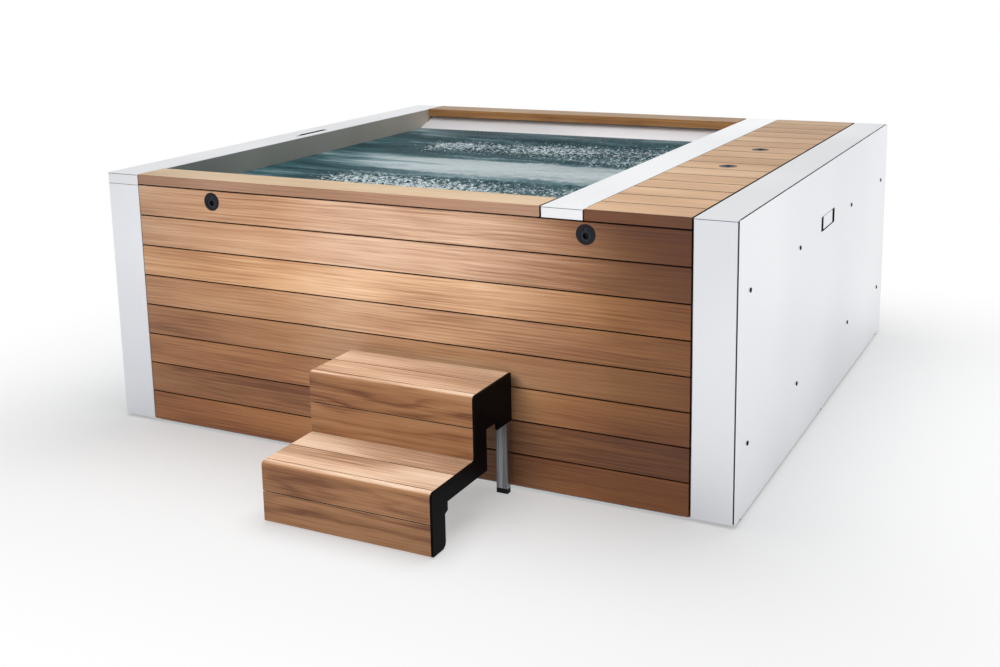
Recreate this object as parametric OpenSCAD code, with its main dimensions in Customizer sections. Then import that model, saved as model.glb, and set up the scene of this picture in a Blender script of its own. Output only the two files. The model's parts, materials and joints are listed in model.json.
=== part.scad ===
// Free-standing steel hot tub with timber cladding, an equipment bay under a
// slatted deck, and a two-tread step that stands in front of it.
// Sizes are in millimetres. X runs to the right, Y to the back and Z up, and the
// origin is on the ground, in the middle of the area that tub and step cover.

/* [Body] */
// Width over the side panels
body_w = 2280; // [2100:1:2500]
// Depth from the front cladding to the back cladding
body_d = 2150; // [2000:1:2350]
// Height of the rim above the ground
body_h = 900; // [860:1:960]
// Width of the steel rims, of the strip beside the deck and of the corner posts
rim_w = 135; // [120:1:150]
// Thickness of the outer steel sheet
sheet_t = 3; // [2:0.5:4]
// Open joint between neighbouring outer pieces
joint_gap = 4; // [3:0.5:5]
// Thin joint between a rim and the sheets under it
rim_joint = 1.5; // [1:0.5:3]
// Outer radius on the folded edges of the sheets
fold_r = 5; // [4.5:0.5:6]
// Height of the cladding above the ground
ground_gap = 10; // [9:1:11]
// Thickness of the timber caps, and depth of the left rim and of the strip's end
cap_t = 34; // [30:1:40]
// Radius on the edges of the timber
timber_r = 2; // [1:0.5:4]

/* [Cladding] */
// Planks in the front panel and in the back panel
plank_count = 8; // [6:1:10]
// Thickness of a plank
plank_t = 22; // [18:1:24]
// Open gap between two planks, and above the top one
plank_gap = 4; // [2:0.5:5]
// Thickness of the front battens
batten_t = 18; // [16:1:20]
// Width of a batten
batten_w = 60; // [45:1:80]
// Battens in each panel
batten_count = 5; // [4:1:6]
// Distance of the first batten's middle from the end of the panel
batten_inset = 95; // [60:1:150]

/* [Frame] */
// Thickness of the packing between the front battens and the frame
pack_t = 4; // [3:0.5:6]
// Height of the base channels
base_h = 50; // [40:1:60]
// Width of the base channels and side rails
channel_w = 40; // [36:1:50]
// Wall of the channels
channel_t = 4; // [3:0.5:5]
// Height of the top rails
rail_h = 46; // [40:1:52]
// Width of the front rail and of the back rail
rail_w = 30; // [26:1:34]
// Width of the ledges that carry the deck lids
ledge_w = 20; // [15:1:25]
// Thickness of the plates welded to the frame
plate_t = 3; // [2:0.5:4]
// Height of the frame above the ground
frame_lift = 12; // [12:1:16]
// Thickness of the base pan
pan_t = 3; // [2:0.5:4]
// Radius of a foot's pad
foot_r = 20; // [16:1:22]
// Thickness of a foot's pad
foot_t = 8; // [6:1:9]
// Radius of a foot's stem
stem_r = 6; // [5:0.5:8]
// Clearance of a stem in its block
stem_clear = 0.1; // [0.05:0.01:0.2]
// Height of the block that takes a stem
block_h = 20; // [15:1:25]
// Thickness of the lock nut under a block
nut_h = 8; // [6:1:10]

/* [Tank] */
// Thickness of the tank's sheet
tank_t = 3; // [2:0.5:4]
// Thickness of the insulation under the tank's floor
floor_foam_t = 20; // [15:1:40]
// Thickness of the insulation around the walls
wall_foam_t = 45; // [30:1:50]
// Distance of the sloping ledge's top edge from the face of the body
ledge_set = 78; // [76:1:90]
// Length of the sloping ledge, front to back
ledge_run = 140; // [120:1:170]
// Drop of the sloping ledge
ledge_drop = 58; // [45:1:75]
// Height of the seat
seat_h = 400; // [350:1:450]
// Depth of the seat
bench_d = 430; // [380:1:480]
// Radius of the footwell's corners
footwell_r = 60; // [30:1:90]

/* [Jets] */
// Jets in one row of the front wall and of the back wall
jets_long = 3; // [2:1:4]
// Jets in one row of the left wall
jets_short = 2; // [2:1:3]
// Height of the lower row
jet_z = 500; // [470:1:520]
// Distance between the rows
jet_rise = 140; // [110:1:180]
// Radius of a jet's face
jet_r = 36; // [30:1:42]
// Radius of a jet's neck
jet_neck_r = 24; // [20:1:26]
// Length of a jet's body behind the wall
jet_len = 42; // [30:1:50]

/* [Water fittings] */
// Height of the suction covers
suction_z = 200; // [190:1:230]
// Radius of a suction cover
suction_r = 95; // [80:1:105]
// Distance from the tank's middle to a suction cover
suction_off = 175; // [150:1:220]
// Width of the skimmer's mouth
skimmer_w = 180; // [150:1:220]
// Height of the skimmer's mouth
skimmer_h = 93; // [80:1:110]
// Depth of the skimmer below its mouth
skimmer_deep = 95; // [80:1:120]
// Wall of the skimmer
skimmer_t = 10; // [8:1:12]
// Length of the skimmer behind the wall
skimmer_len = 187; // [175:1:210]
// Thickness of the weir flap
weir_t = 4; // [3:0.5:6]
// Radius of the light's lens
light_r = 62; // [50:1:75]
// Height of the light
light_z = 420; // [400:1:450]

/* [Deck] */
// Width of the deck
deck_w = 324; // [300:1:360]
// Slats on each of the two lids
slat_count = 8; // [6:1:10]
// Thickness of a slat
slat_t = 22; // [18:1:26]
// Gap between two slats
slat_gap = 4; // [3:0.5:5]
// Width of the bars under the slats
tray_bar = 30; // [24:1:40]
// The slat of each lid, counted from the deck's middle, that holds the ring pull
pull_slat = 2; // [1:1:3]

/* [Ring pull] */
// Radius of the pull's bezel
pull_r = 31; // [29:0.5:34]
// Thickness of the bezel
bezel_t = 2; // [1.5:0.5:3]
// Radius of the cup behind the bezel
cup_r = 27; // [26:0.5:28]
// Depth of the cup
cup_h = 14; // [13:0.5:16]
// Radius of the ring
ring_r = 17; // [15:0.5:18]
// Radius of the finger hole in the ring
finger_r = 10; // [9:0.5:11]
// Thickness of the ring
ring_t = 4; // [3:0.5:5]
// Depth of the ring below the bezel's face
ring_sink = 1; // [0.5:0.1:1.5]
// Width of the ring's neck
neck_w = 12; // [10:0.5:14]
// Distance of the ring's pivot from the bezel's middle
pivot_off = 19.5; // [19:0.5:20]
// Distance of the ring's middle below the bezel's middle
ring_drop = 5; // [4:0.5:6]
// Radius of the ring's trunnions
trunnion_r = 1.5; // [1.2:0.1:1.8]
// Radial clearance of every trunnion and shaft
turn_clear = 0.08; // [0.03:0.01:0.1]
// Free space around a ring in its cup
pocket_clear = 0.8; // [0.5:0.1:1.2]
// Distance of the front pulls' middle below the top of the panel
front_pull_z = 36; // [34:1:45]
// Distance of the left pull from the panel's left end
left_pull_x = 317; // [250:1:400]
// Distance of the right pull from the panel's right end
right_pull_x = 319; // [250:1:400]

/* [Panel clips] */
// Radius of a clip's stud
stud_r = 4; // [3:0.5:5]
// Radial play of a stud in its socket
stud_play = 1.3; // [1.2:0.1:1.8]
// Length of a stud
stud_len = 18; // [14:1:22]
// Radius of a socket
socket_r = 9; // [8:0.5:10]

/* [Side panels] */
// Radius of a panel screw's head
screw_r = 7; // [5:0.5:8]
// Distance of the end screws from the face of the body
screw_end = 110; // [90:1:130]
// Distance of the inner screws from the body's middle
screw_in = 390; // [300:1:450]
// Height of the lower screws
screw_low = 222; // [180:1:260]
// Height of the upper screws
screw_high = 680; // [640:1:720]
// Width of the side pull
grip_w = 200; // [180:1:250]
// Height of the side pull
grip_h = 52; // [48:1:72]
// Height of the side pull's middle above the ground
grip_z = 698; // [650:1:720]
// Width of each end of the side pull
grip_end = 30; // [25:1:36]
// Depth of the side pull
grip_d = 22; // [20:1:28]
// Radius of the flap's trunnions
flap_pin_r = 2; // [1.5:0.1:2.5]

/* [Keypad] */
// Length of the keypad
key_len = 215; // [180:1:240]
// Width of the keypad
key_w = 24; // [20:1:30]
// Depth of the keypad's case
key_deep = 24; // [18:1:30]
// Distance of the keypad's outer edge from the tank
key_in = 55; // [52:1:70]
// Place of the keypad's middle, front to back
key_y = 1100; // [900:1:1200]

/* [Equipment] */
// Radius of the pipes
pipe_r = 25; // [20:1:28]
// Wall of the pipes
pipe_wall = 3; // [2:0.5:4]
// Radius by which a branch is thinner than its main
branch_less = 4; // [3:0.5:6]
// Bend radius of the pipes
bend_r = 60; // [50:1:70]
// Place of the pump's front face, front to back
pump_y = 520; // [500:1:560]
// Radius of the motor over its fins
motor_r = 80; // [70:1:90]
// Length of the motor
motor_len = 270; // [220:1:320]
// Number of cooling fins on the motor
fin_count = 24; // [16:1:32]
// Radius of the pump's volute
volute_r = 88; // [80:1:98]
// Radius of the impeller
impeller_r = 54; // [45:1:58]
// Number of vanes on the impeller
vane_count = 6; // [4:1:8]
// Radius of the motor's shaft
shaft_r = 7; // [6:0.5:9]
// Radius of the filter canister
filter_r = 110; // [95:1:120]
// Height of the filter canister
filter_h = 430; // [400:1:480]
// Place of the filter's middle, front to back
filter_y = 1150; // [1120:1:1180]
// Length of the heater
heater_len = 400; // [340:1:440]
// Radius of the heater's tube
heater_r = 34; // [32:1:40]
// Width of the control box
box_w = 140; // [120:1:150]
// Length of the control box
box_len = 460; // [380:1:480]
// Height of the control box
box_h = 435; // [380:1:500]
// Radius of the air blower
blower_r = 80; // [70:1:85]
// Height of the air blower
blower_h = 210; // [180:1:240]
// Radius of the cable gland's bore
gland_r = 9; // [7:0.5:11]

/* [Step] */
// Width over the step
step_w = 572; // [480:1:700]
// Distance of the step's left end from the tub's left side
step_x = 1016; // [700:1:1200]
// Distance between the step and the tub
step_gap = 30; // [26:1:60]
// Height of the lower tread
tread_low = 190; // [180:1:200]
// Height of the upper tread
tread_high = 385; // [370:1:400]
// Depth of the lower tread
going_low = 255; // [240:1:275]
// Depth of the upper tread
going_high = 236; // [225:1:260]
// Thickness of the step's boards
board_t = 22; // [18:1:26]
// Gap between two boards
board_gap = 3; // [2:0.5:4]
// Radius on the nose of each tread
nose_r = 14; // [8:1:18]
// Thickness of the side plates
side_t = 8; // [5:0.5:10]
// Width of the side plates' upright strips
strip_w = 70; // [60:1:80]
// Width of the step's tubes
tube_w = 38; // [34:1:42]
// Depth of the step's tubes
tube_d = 20; // [18:1:24]
// Height of the rubber feet
step_foot_h = 16; // [12:1:22]

/* [Hidden] */

$fn = 40;
// How far a cutting shape runs past the surface that it cuts
over = 1;

// Places along X, from the left side of the body
deck_x1 = body_w - rim_w - joint_gap;
deck_x0 = deck_x1 - deck_w;
strip_x1 = deck_x0 - joint_gap;
strip_x0 = strip_x1 - rim_w;
bay_x = (deck_x0 + deck_x1) / 2;
mid_rail_x = strip_x0 + tank_t + wall_foam_t + 2;
post_x1 = body_w - sheet_t - joint_gap;

// Places along Y, from the front of the body
step_d = going_low + going_high;
front_y = (step_d + step_gap - body_d) / 2;
frame_y = plank_t + batten_t + pack_t;
wall_y = ledge_set + ledge_run;
mid_y = body_d / 2;

// Heights
pan_z = frame_lift + base_h;
bay_z = pan_z + pan_t;
tank_z = bay_z + floor_foam_t;
floor_z = tank_z + tank_t;
cap_z = body_h - cap_t;
rail_top = cap_z - tank_t;
side_rail_top = body_h - sheet_t - tank_t;
ledge_z = cap_z - ledge_drop;
left_top = cap_z - joint_gap - rim_joint;

// Cladding
plank_x0 = rim_w + joint_gap;
plank_x1 = deck_x1;
plank_top = cap_z - joint_gap - 1;
plank_pitch = (plank_top - ground_gap + plank_gap) / plank_count;
batten_step = (plank_x1 - plank_x0 - 2 * batten_inset) / (batten_count - 1);
batten_xs = [for (i = [0 : batten_count - 1]) plank_x0 + batten_inset + i * batten_step];
clip_z = rail_top - rail_h / 2;
pull_z = plank_top - front_pull_z;

// Feet and uprights
cross_x = mid_rail_x / 2;
member_xs = [sheet_t, cross_x, mid_rail_x, body_w - sheet_t - channel_w];
foot_ys = [frame_y + channel_w / 2, mid_y, body_d - frame_y - channel_w / 2];
screw_ys = [screw_end, mid_y - screw_in, mid_y + screw_in, body_d - screw_end];
screw_zs = [screw_low, screw_high];

// Bay equipment
pump_z = bay_z + 135;
suction_x = bay_x - 150;
manifold_x = mid_rail_x + channel_w - 5;
manifold_z = 560;
line_z = suction_z;
turn_y = pump_y - 190;
inlet_y = pump_y - 120;
outlet_y = pump_y - 35;
outlet_z = pump_z + 120;
filter_in_z = bay_z + filter_h - 55;
heater_z = bay_z + 105;
port_len = 20;
heater_y = filter_y + filter_r + port_len + 120;
skimmer_z = side_rail_top - rail_h - skimmer_t;
valve_y0 = 110;
valve_y1 = 300;
box_x = body_w - sheet_t - channel_w - 12 - box_w;
blower_x = bay_x + 140;
blower_y = body_d - frame_y - channel_w - blower_r - 15;
box_y = min(heater_y - 40, blower_y - blower_r - 25 - box_len);
gland_x = bay_x + 170;
gland_y = filter_y + 50;

// Step
step_y0 = -step_gap - step_d;
riser_y = step_y0 + going_low;
step_x1 = step_x + step_w;
board_x1 = step_x1 - side_t;
left_frame_x = step_x + 4 + side_t;
right_frame_x = board_x1 - tube_w;

// Puts a piece that is drawn from the body's front left corner into the frame
module in_body() translate([-body_w / 2, front_y, 0]) children();

// A block between two corners
module block(x0, x1, y0, y1, z0, z1)
    translate([x0, y0, z0]) cube([x1 - x0, y1 - y0, z1 - z0]);

// A flat (y, z) outline drawn along X, and a flat (x, z) outline drawn along Y
module along_x(x0, x1) translate([x0, 0, 0]) rotate([90, 0, 90]) linear_extrude(x1 - x0) children();
module along_y(y0, y1) translate([0, y1, 0]) rotate([90, 0, 0]) linear_extrude(y1 - y0) children();

// A rod along Y or X, from one place to another
module rod_y(x, y0, y1, z, r) translate([x, y0, z]) rotate([-90, 0, 0]) cylinder(r = r, h = y1 - y0);
module rod_x(x0, x1, y, z, r) translate([x0, y, z]) rotate([0, 90, 0]) cylinder(r = r, h = x1 - x0);

// A piece and its mirror image at the other side of the body
module both_y() {
    children();
    translate([0, body_d, 0]) mirror([0, 1, 0]) children();
}
module both_x() {
    children();
    translate([body_w, 0, 0]) mirror([1, 0, 0]) children();
}

// A rectangle from the origin with all four corners round
module round_rect(w, h, r) {
    translate([r, 0]) square([w - 2 * r, h]);
    translate([0, r]) square([w, h - 2 * r]);
    for (x = [r, w - r], y = [r, h - r]) translate([x, y]) circle(r = r);
}

// Points on a round corner, from one angle to another
function arc(cx, cy, r, a0, a1, n = 6) =
    [for (i = [0 : n]) let (a = a0 + (a1 - a0) * i / n) [cx + r * cos(a), cy + r * sin(a)]];

// Base

module foot() {
    top = pan_z - channel_t;
    rotate_extrude() polygon([[0, 0], [foot_r - 2, 0], [foot_r, 2], [foot_r, foot_t - 2],
        [stem_r + 4, foot_t], [0, foot_t]]);
    cylinder(r = stem_r, h = top - 2);
    translate([0, 0, top - block_h - nut_h]) cylinder(r = stem_r * 1.8, h = nut_h, $fn = 6);
}

module levelling_feet()
    color("dimgray") in_body()
        for (x = member_xs, y = foot_ys) translate([x + channel_w / 2, y, 0]) foot();

module base_outline(inset, z0, z1) {
    x1 = body_w - sheet_t;
    for (y = [frame_y, body_d - frame_y - channel_w])
        block(sheet_t + inset, x1 - inset, y + inset, y + channel_w - inset, z0, z1);
    for (x = member_xs)
        block(x + inset, x + channel_w - inset, frame_y + inset, body_d - frame_y - inset, z0, z1);
}

module base_frame()
    color("silver") in_body() difference() {
        union() {
            difference() {
                base_outline(0, frame_lift, pan_z);
                base_outline(channel_t, frame_lift - over, pan_z - channel_t);
            }
            for (x = member_xs, y = foot_ys)
                translate([x + channel_t - 1, y - channel_w / 2 + channel_t + 1, pan_z - channel_t - block_h])
                    cube([channel_w - 2 * channel_t + 2, channel_w - 2 * channel_t - 2, block_h + 1]);
            panel_ledge();
        }
        for (x = member_xs, y = foot_ys)
            translate([x + channel_w / 2, y, 0])
                cylinder(r = stem_r + stem_clear, h = pan_z - channel_t + 0.5);
    }

// The ledge that the front panel stands on, and over whose front edge it tips
module panel_ledge() {
    x0 = plank_x0 + 20;
    x1 = plank_x1 - 20;
    block(x0, x1, plank_t / 5, frame_y, ground_gap - plate_t, ground_gap);
    block(x0, x1, frame_y - pack_t + 1, frame_y + 1, ground_gap - plate_t, pan_z - 2 * channel_t);
}

module base_pan()
    color("gray") in_body() difference() {
        block(sheet_t, body_w - sheet_t, frame_y, body_d - frame_y, pan_z, bay_z);
        translate([gland_x, gland_y, pan_z - over]) cylinder(r = gland_r + 3.2, h = pan_t + 2 * over);
    }

// An upright of angle section, with its flat faces towards -X and -Y
module upright(top) {
    linear_extrude(top - bay_z) {
        square([channel_t, channel_w]);
        square([rail_w, channel_t]);
    }
}

module frame_uprights()
    color("silver") in_body() {
        difference() {
            for (y = screw_ys) {
                translate([sheet_t, y - channel_w / 2, bay_z]) upright(side_rail_top - rail_h);
                translate([body_w - sheet_t, y - channel_w / 2, bay_z])
                    mirror([1, 0, 0]) upright(body_h - sheet_t - rail_h);
            }
            screw_places(0) panel_screw(0.05);
            screw_places(body_w) panel_screw(0.05);
        }
        both_y() {
            translate([cross_x, frame_y, bay_z]) upright(rail_top - rail_h);
            translate([mid_rail_x, frame_y + rail_w + 2, bay_z]) upright(side_rail_top - rail_h);
        }
    }

// The profile of a rail that is open on its far side
module rail_profile(w) {
    difference() {
        square([w, rail_h]);
        translate([channel_t, channel_t]) square([w, rail_h - 2 * channel_t]);
    }
}

module top_frame()
    color("silver") in_body() difference() {
        union() {
            both_y() along_x(sheet_t, body_w - sheet_t)
                translate([frame_y, rail_top - rail_h]) rail_profile(rail_w);
            along_y(frame_y, body_d - frame_y) {
                translate([sheet_t + channel_w, side_rail_top - rail_h]) mirror([1, 0]) rail_profile(channel_w);
                translate([mid_rail_x + channel_w, side_rail_top - rail_h]) mirror([1, 0]) rail_profile(channel_w);
                translate([body_w - sheet_t - channel_w, body_h - sheet_t - rail_h]) rail_profile(channel_w);
            }
            deck_ledges();
        }
        for (x = batten_xs) rod_y(x, frame_y - over, frame_y + channel_t + over, clip_z, socket_r + 0.2);
    }

// The two ledges that carry the deck lids
module deck_ledges() {
    y0 = frame_y + channel_t + 1;
    block(mid_rail_x + channel_w - 1, strip_x1 + ledge_w, y0, body_d - y0, cap_z - plate_t, cap_z);
    block(deck_x1 + joint_gap - ledge_w, body_w - sheet_t - channel_w + 1, y0, body_d - y0,
        cap_z - plate_t, cap_z);
}

// Tank

// The front half of the tank's section: flange, sloping ledge and wall
module tank_half_section() {
    y0 = frame_y;
    translate([y0, cap_z - tank_t]) square([ledge_set - y0, tank_t]);
    polygon([[ledge_set, cap_z], [wall_y, ledge_z], [wall_y, ledge_z - tank_t],
        [ledge_set, cap_z - tank_t]]);
    translate([wall_y - tank_t, tank_z]) square([tank_t, ledge_z - tank_z]);
}

// The outline of the tank's end walls
module tank_end_section()
    polygon([[ledge_set, body_h - sheet_t], [ledge_set, cap_z - tank_t], [wall_y - tank_t, ledge_z - tank_t],
        [wall_y - tank_t, tank_z], [body_d - wall_y + tank_t, tank_z],
        [body_d - wall_y + tank_t, ledge_z - tank_t], [body_d - ledge_set, cap_z - tank_t],
        [body_d - ledge_set, body_h - sheet_t]]);

// Every jet's place on a wall and the way that it faces
function row(x0, x1, n, i) = x0 + (x1 - x0) * (i + 0.5) / n;
jet_span = strip_x0 - bench_d / 2;
jets = [
    for (k = [0 : 1], i = [0 : jets_long - 1], back = [0 : 1])
        [row(rim_w + bench_d / 2, jet_span, jets_long, i), back ? body_d - wall_y : wall_y,
            jet_z + k * jet_rise, back ? 180 : 0],
    for (k = [0 : 1], i = [0 : jets_short - 1])
        [rim_w, row(wall_y + bench_d / 2, body_d - wall_y - bench_d / 2, jets_short, i),
            jet_z + k * jet_rise, -90]];

// Stands a child on a jet's place, with its +Z into the tank
module at_jet(j) translate([j[0], j[1], j[2]]) rotate([0, 0, j[3]]) rotate([-90, 0, 0]) children();

suction_ys = [mid_y - suction_off, mid_y + suction_off];
suction_hole = 40;
light_hole = 40;

module tank()
    color("gainsboro") in_body() difference() {
        union() {
            along_x(rim_w - tank_t, strip_x0 + tank_t) {
                tank_half_section();
                translate([body_d, 0]) mirror([1, 0]) tank_half_section();
                translate([wall_y - tank_t, tank_z]) square([body_d - 2 * wall_y + 2 * tank_t, tank_t]);
            }
            along_x(rim_w - tank_t, rim_w) tank_end_section();
            along_x(strip_x0, strip_x0 + tank_t) tank_end_section();
            block(sheet_t, rim_w, ledge_set, body_d - ledge_set, side_rail_top, body_h - sheet_t);
            block(strip_x0, mid_rail_x + channel_w, ledge_set, body_d - ledge_set,
                side_rail_top, body_h - sheet_t);
        }
        for (j = jets) at_jet(j) translate([0, 0, -tank_t - over])
            cylinder(r = jet_neck_r + 0.5, h = tank_t + 2 * over);
        for (y = suction_ys) rod_x(strip_x0 - over, strip_x0 + tank_t + over, y, suction_z, suction_hole + 0.5);
        rod_x(strip_x0 - over, strip_x0 + tank_t + over, mid_y, light_z, light_hole + 0.5);
        block(strip_x0 - over, strip_x0 + tank_t + over, mid_y - skimmer_w / 2, mid_y + skimmer_w / 2,
            skimmer_z - skimmer_h, skimmer_z);
        key_space(0.5);
    }

// The footwell seen from above, grown by an amount
module footwell(grow) {
    r = footwell_r + grow;
    x0 = rim_w + bench_d - grow;
    y0 = wall_y + bench_d - grow;
    translate([x0, y0]) round_rect(strip_x0 - x0 + 2 * r, body_d - 2 * y0, r);
}

module bench_area(x_end) translate([rim_w, wall_y]) square([x_end - rim_w, body_d - 2 * wall_y]);

module bench()
    color("gainsboro") in_body() {
        translate([0, 0, seat_h - tank_t]) linear_extrude(tank_t) difference() {
            bench_area(strip_x0);
            footwell(0);
        }
        translate([0, 0, floor_z]) linear_extrude(seat_h - floor_z) intersection() {
            bench_area(strip_x0);
            difference() {
                footwell(tank_t);
                footwell(0);
            }
        }
    }

module tank_insulation() {
    x0 = rim_w - tank_t;
    x1 = strip_x0 + tank_t;
    y0 = wall_y - tank_t;
    y1 = body_d - y0;
    f = wall_foam_t;
    top = ledge_z - 20;
    color("khaki") in_body() difference() {
        block(x0 - f, x1 + f, y0 - f, y1 + f, bay_z, top);
        block(x0, x1, y0, y1, tank_z, top + over);
        for (j = jets) at_jet(j) translate([0, 0, -tank_t - f - over]) cylinder(r = jet_r + 2, h = f + 2 * over);
        for (y = suction_ys) rod_x(x1 - over, x1 + f + over, y, suction_z, suction_hole + 16);
        rod_x(x1 - over, x1 + f + over, mid_y, light_z, light_hole + 8);
        block(x1 - over, x1 + f + over, mid_y - skimmer_w / 2 - skimmer_t - 5,
            mid_y + skimmer_w / 2 + skimmer_t + 5, skimmer_z - skimmer_h - skimmer_deep - skimmer_t - 5, top + over);
    }
}

// A jet's face: a domed flange with a nozzle, on a neck that passes the wall
module jet_face() rotate_extrude() difference() {
    union() {
        polygon([[0, 0], [jet_r, 0], [jet_r, 2], [jet_r * 0.6, 7], [0, 7]]);
        translate([0, -tank_t - 9]) square([jet_neck_r, tank_t + 9]);
    }
    translate([0, -tank_t - 9 - over]) square([9, tank_t + 20]);
    translate([0, 3]) square([16, 6]);
}

module jet_faces() color("silver") in_body() for (j = jets) at_jet(j) jet_face();

// A jet's body: a nut against the wall and a barrel with its water and air stubs
module jet_body() translate([0, 0, -tank_t]) mirror([0, 0, 1]) {
    rotate_extrude() polygon([[jet_neck_r + 0.2, 0], [jet_r - 2, 0], [jet_r - 2, 11], [jet_neck_r + 2, 13],
        [jet_neck_r + 2, jet_len], [0, jet_len], [0, 13], [jet_neck_r + 0.2, 13]]);
    for (s = [-1, 1]) rotate([0, 0, 45]) translate([0, 0, jet_len - 14]) rotate([0, 90 * s, 0])
        translate([0, 0, jet_neck_r]) cylinder(r = 7, h = 11);
}

module jet_bodies() color("dimgray") in_body() for (j = jets) at_jet(j) jet_body();

// A suction cover: a domed grille with radial slots, its neck and its nut
module suction_cover() {
    difference() {
        rotate_extrude() polygon([[0, 8], [0, 20], [suction_r * 0.5, 18], [suction_r, 5], [suction_r, 0],
            [suction_r - 8, 0], [suction_r * 0.5, 8]]);
        for (a = [0 : 30 : 330]) rotate([0, 0, a]) translate([22, -3, -over]) cube([suction_r * 0.55, 6, 30]);
    }
    difference() {
        translate([0, 0, -tank_t - 12]) cylinder(r = suction_hole, h = tank_t + 21);
        translate([0, 0, -tank_t - 12 - over]) cylinder(r = pipe_r, h = tank_t + 20);
    }
    translate([0, 0, -tank_t - 12]) difference() {
        cylinder(r = suction_hole + 12, h = 12);
        translate([0, 0, -over]) cylinder(r = suction_hole - 1, h = 12 + 2 * over);
    }
}

module suction_covers()
    color("silver") in_body() for (y = suction_ys)
        translate([strip_x0, y, suction_z]) rotate([0, -90, 0]) suction_cover();

skimmer_x0 = strip_x0 + tank_t;
skimmer_z0 = skimmer_z - skimmer_h - skimmer_deep - skimmer_t;
weir_x = skimmer_x0 + 14;
weir_z = skimmer_z - skimmer_h + 7;

module skimmer_body()
    color("white") in_body() difference() {
        block(skimmer_x0, skimmer_x0 + skimmer_len, mid_y - skimmer_w / 2 - skimmer_t,
            mid_y + skimmer_w / 2 + skimmer_t, skimmer_z0, skimmer_z + skimmer_t - 2);
        block(skimmer_x0 - over, skimmer_x0 + skimmer_len - skimmer_t, mid_y - skimmer_w / 2,
            mid_y + skimmer_w / 2, skimmer_z0 + skimmer_t, skimmer_z);
        translate([0, mid_y, 0]) for (s = [-1, 1]) scale([1, s, 1])
            rod_y(weir_x, skimmer_w / 2 - over, skimmer_w / 2 + 6, weir_z, 3 + turn_clear);
        translate([suction_x, mid_y - 50, skimmer_z0 - over]) cylinder(r = pipe_r - pipe_wall, h = skimmer_t + 2 * over);
    }

// The floating flap in the skimmer's mouth
module skimmer_weir()
    color("white") in_body() {
        block(weir_x - weir_t / 2, weir_x + weir_t / 2, mid_y - skimmer_w / 2 + 2, mid_y + skimmer_w / 2 - 2,
            weir_z, skimmer_z - 9);
        rod_y(weir_x, mid_y - skimmer_w / 2 + 2, mid_y + skimmer_w / 2 - 2, weir_z, 4.5);
        rod_y(weir_x, mid_y - skimmer_w / 2 - 5, mid_y + skimmer_w / 2 + 5, weir_z, 3);
    }

module underwater_light()
    color("whitesmoke") in_body() translate([strip_x0, mid_y, light_z]) rotate([0, -90, 0]) {
        rotate_extrude() polygon([[0, 0], [light_r, 0], [light_r, 4], [light_r - 6, 9], [light_r * 0.7, 9],
            [light_r * 0.4, 12], [0, 13]]);
        translate([0, 0, -tank_t - 55]) cylinder(r = light_hole, h = tank_t + 56);
        translate([0, 0, -tank_t - 10]) cylinder(r = light_hole + 6, h = 10);
    }

// Outer steel

// The space that a rim between two places may fill, with its outer edges round
module rim_space(x0, x1) {
    z0 = cap_z - joint_gap - 2 * fold_r;
    intersection() {
        along_x(x0, x1) translate([0, z0]) round_rect(body_d, body_h - z0, fold_r);
        along_y(0, body_d) translate([x0, z0]) round_rect(x1 - x0, body_h - z0, fold_r);
        translate([x0, 0, z0]) linear_extrude(body_h - z0) round_rect(x1 - x0, body_d, fold_r);
    }
}

// The thin joint between the top of a rim and its front or back face
module rim_seam(x0, x1)
    both_y() block(x0 + sheet_t, x1 - sheet_t, -over, sheet_t + 0.5, body_h - sheet_t - rim_joint, body_h - sheet_t);

module left_rim()
    color("gainsboro") in_body() difference() {
        intersection() {
            union() {
                block(0, rim_w, 0, body_d, body_h - sheet_t, body_h);
                block(0, sheet_t, 0, body_d, cap_z - joint_gap, body_h);
                both_y() {
                    block(0, rim_w, 0, sheet_t, cap_z - joint_gap, body_h);
                    block(rim_w - sheet_t, rim_w, 0, ledge_set - 1, cap_z, body_h);
                }
            }
            rim_space(0, rim_w);
        }
        rim_seam(0, rim_w);
        key_space(0.5);
    }

module mid_rim()
    color("gainsboro") in_body() difference() {
        intersection() {
            union() {
                block(strip_x0, strip_x1, 0, body_d, body_h - sheet_t, body_h);
                block(strip_x1 - sheet_t, strip_x1, 0, body_d, cap_z, body_h);
                both_y() {
                    block(strip_x0, strip_x1, 0, sheet_t, cap_z, body_h);
                    block(strip_x0, strip_x0 + sheet_t, 0, ledge_set - 1, cap_z, body_h);
                }
            }
            rim_space(strip_x0, strip_x1);
        }
        rim_seam(strip_x0, strip_x1);
    }

module right_rim()
    color("gainsboro") in_body() intersection() {
        x0 = body_w - rim_w;
        union() {
            block(x0, post_x1, 0, body_d, body_h - sheet_t, body_h);
            block(x0, x0 + sheet_t, frame_y + 1, body_d - frame_y - 1, cap_z + 2, body_h);
        }
        rim_space(x0, post_x1);
    }

// The section of a post: a sheet that is folded back at both edges, up to the frame
module post_section(x0, x1) {
    r = fold_r;
    in_r = fold_r - sheet_t;
    polygon(concat([[x0, frame_y]], arc(x0 + r, r, r, 180, 270), arc(x1 - r, r, r, 270, 360),
        [[x1, frame_y], [x1 - sheet_t, frame_y]], arc(x1 - r, r, in_r, 360, 270),
        arc(x0 + r, r, in_r, 270, 180), [[x0 + sheet_t, frame_y]]));
}

module posts(x0, x1, top)
    both_y() translate([0, 0, ground_gap]) linear_extrude(top - ground_gap) post_section(x0, x1);

module left_posts() color("gainsboro") in_body() posts(0, rim_w, left_top);

module right_posts()
    color("gainsboro") in_body() posts(body_w - rim_w, post_x1, body_h - sheet_t - rim_joint);

module screw_places(x)
    for (y = screw_ys, z = screw_zs) translate([x, y, z]) rotate([0, x > 0 ? 90 : -90, 0]) children();

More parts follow.
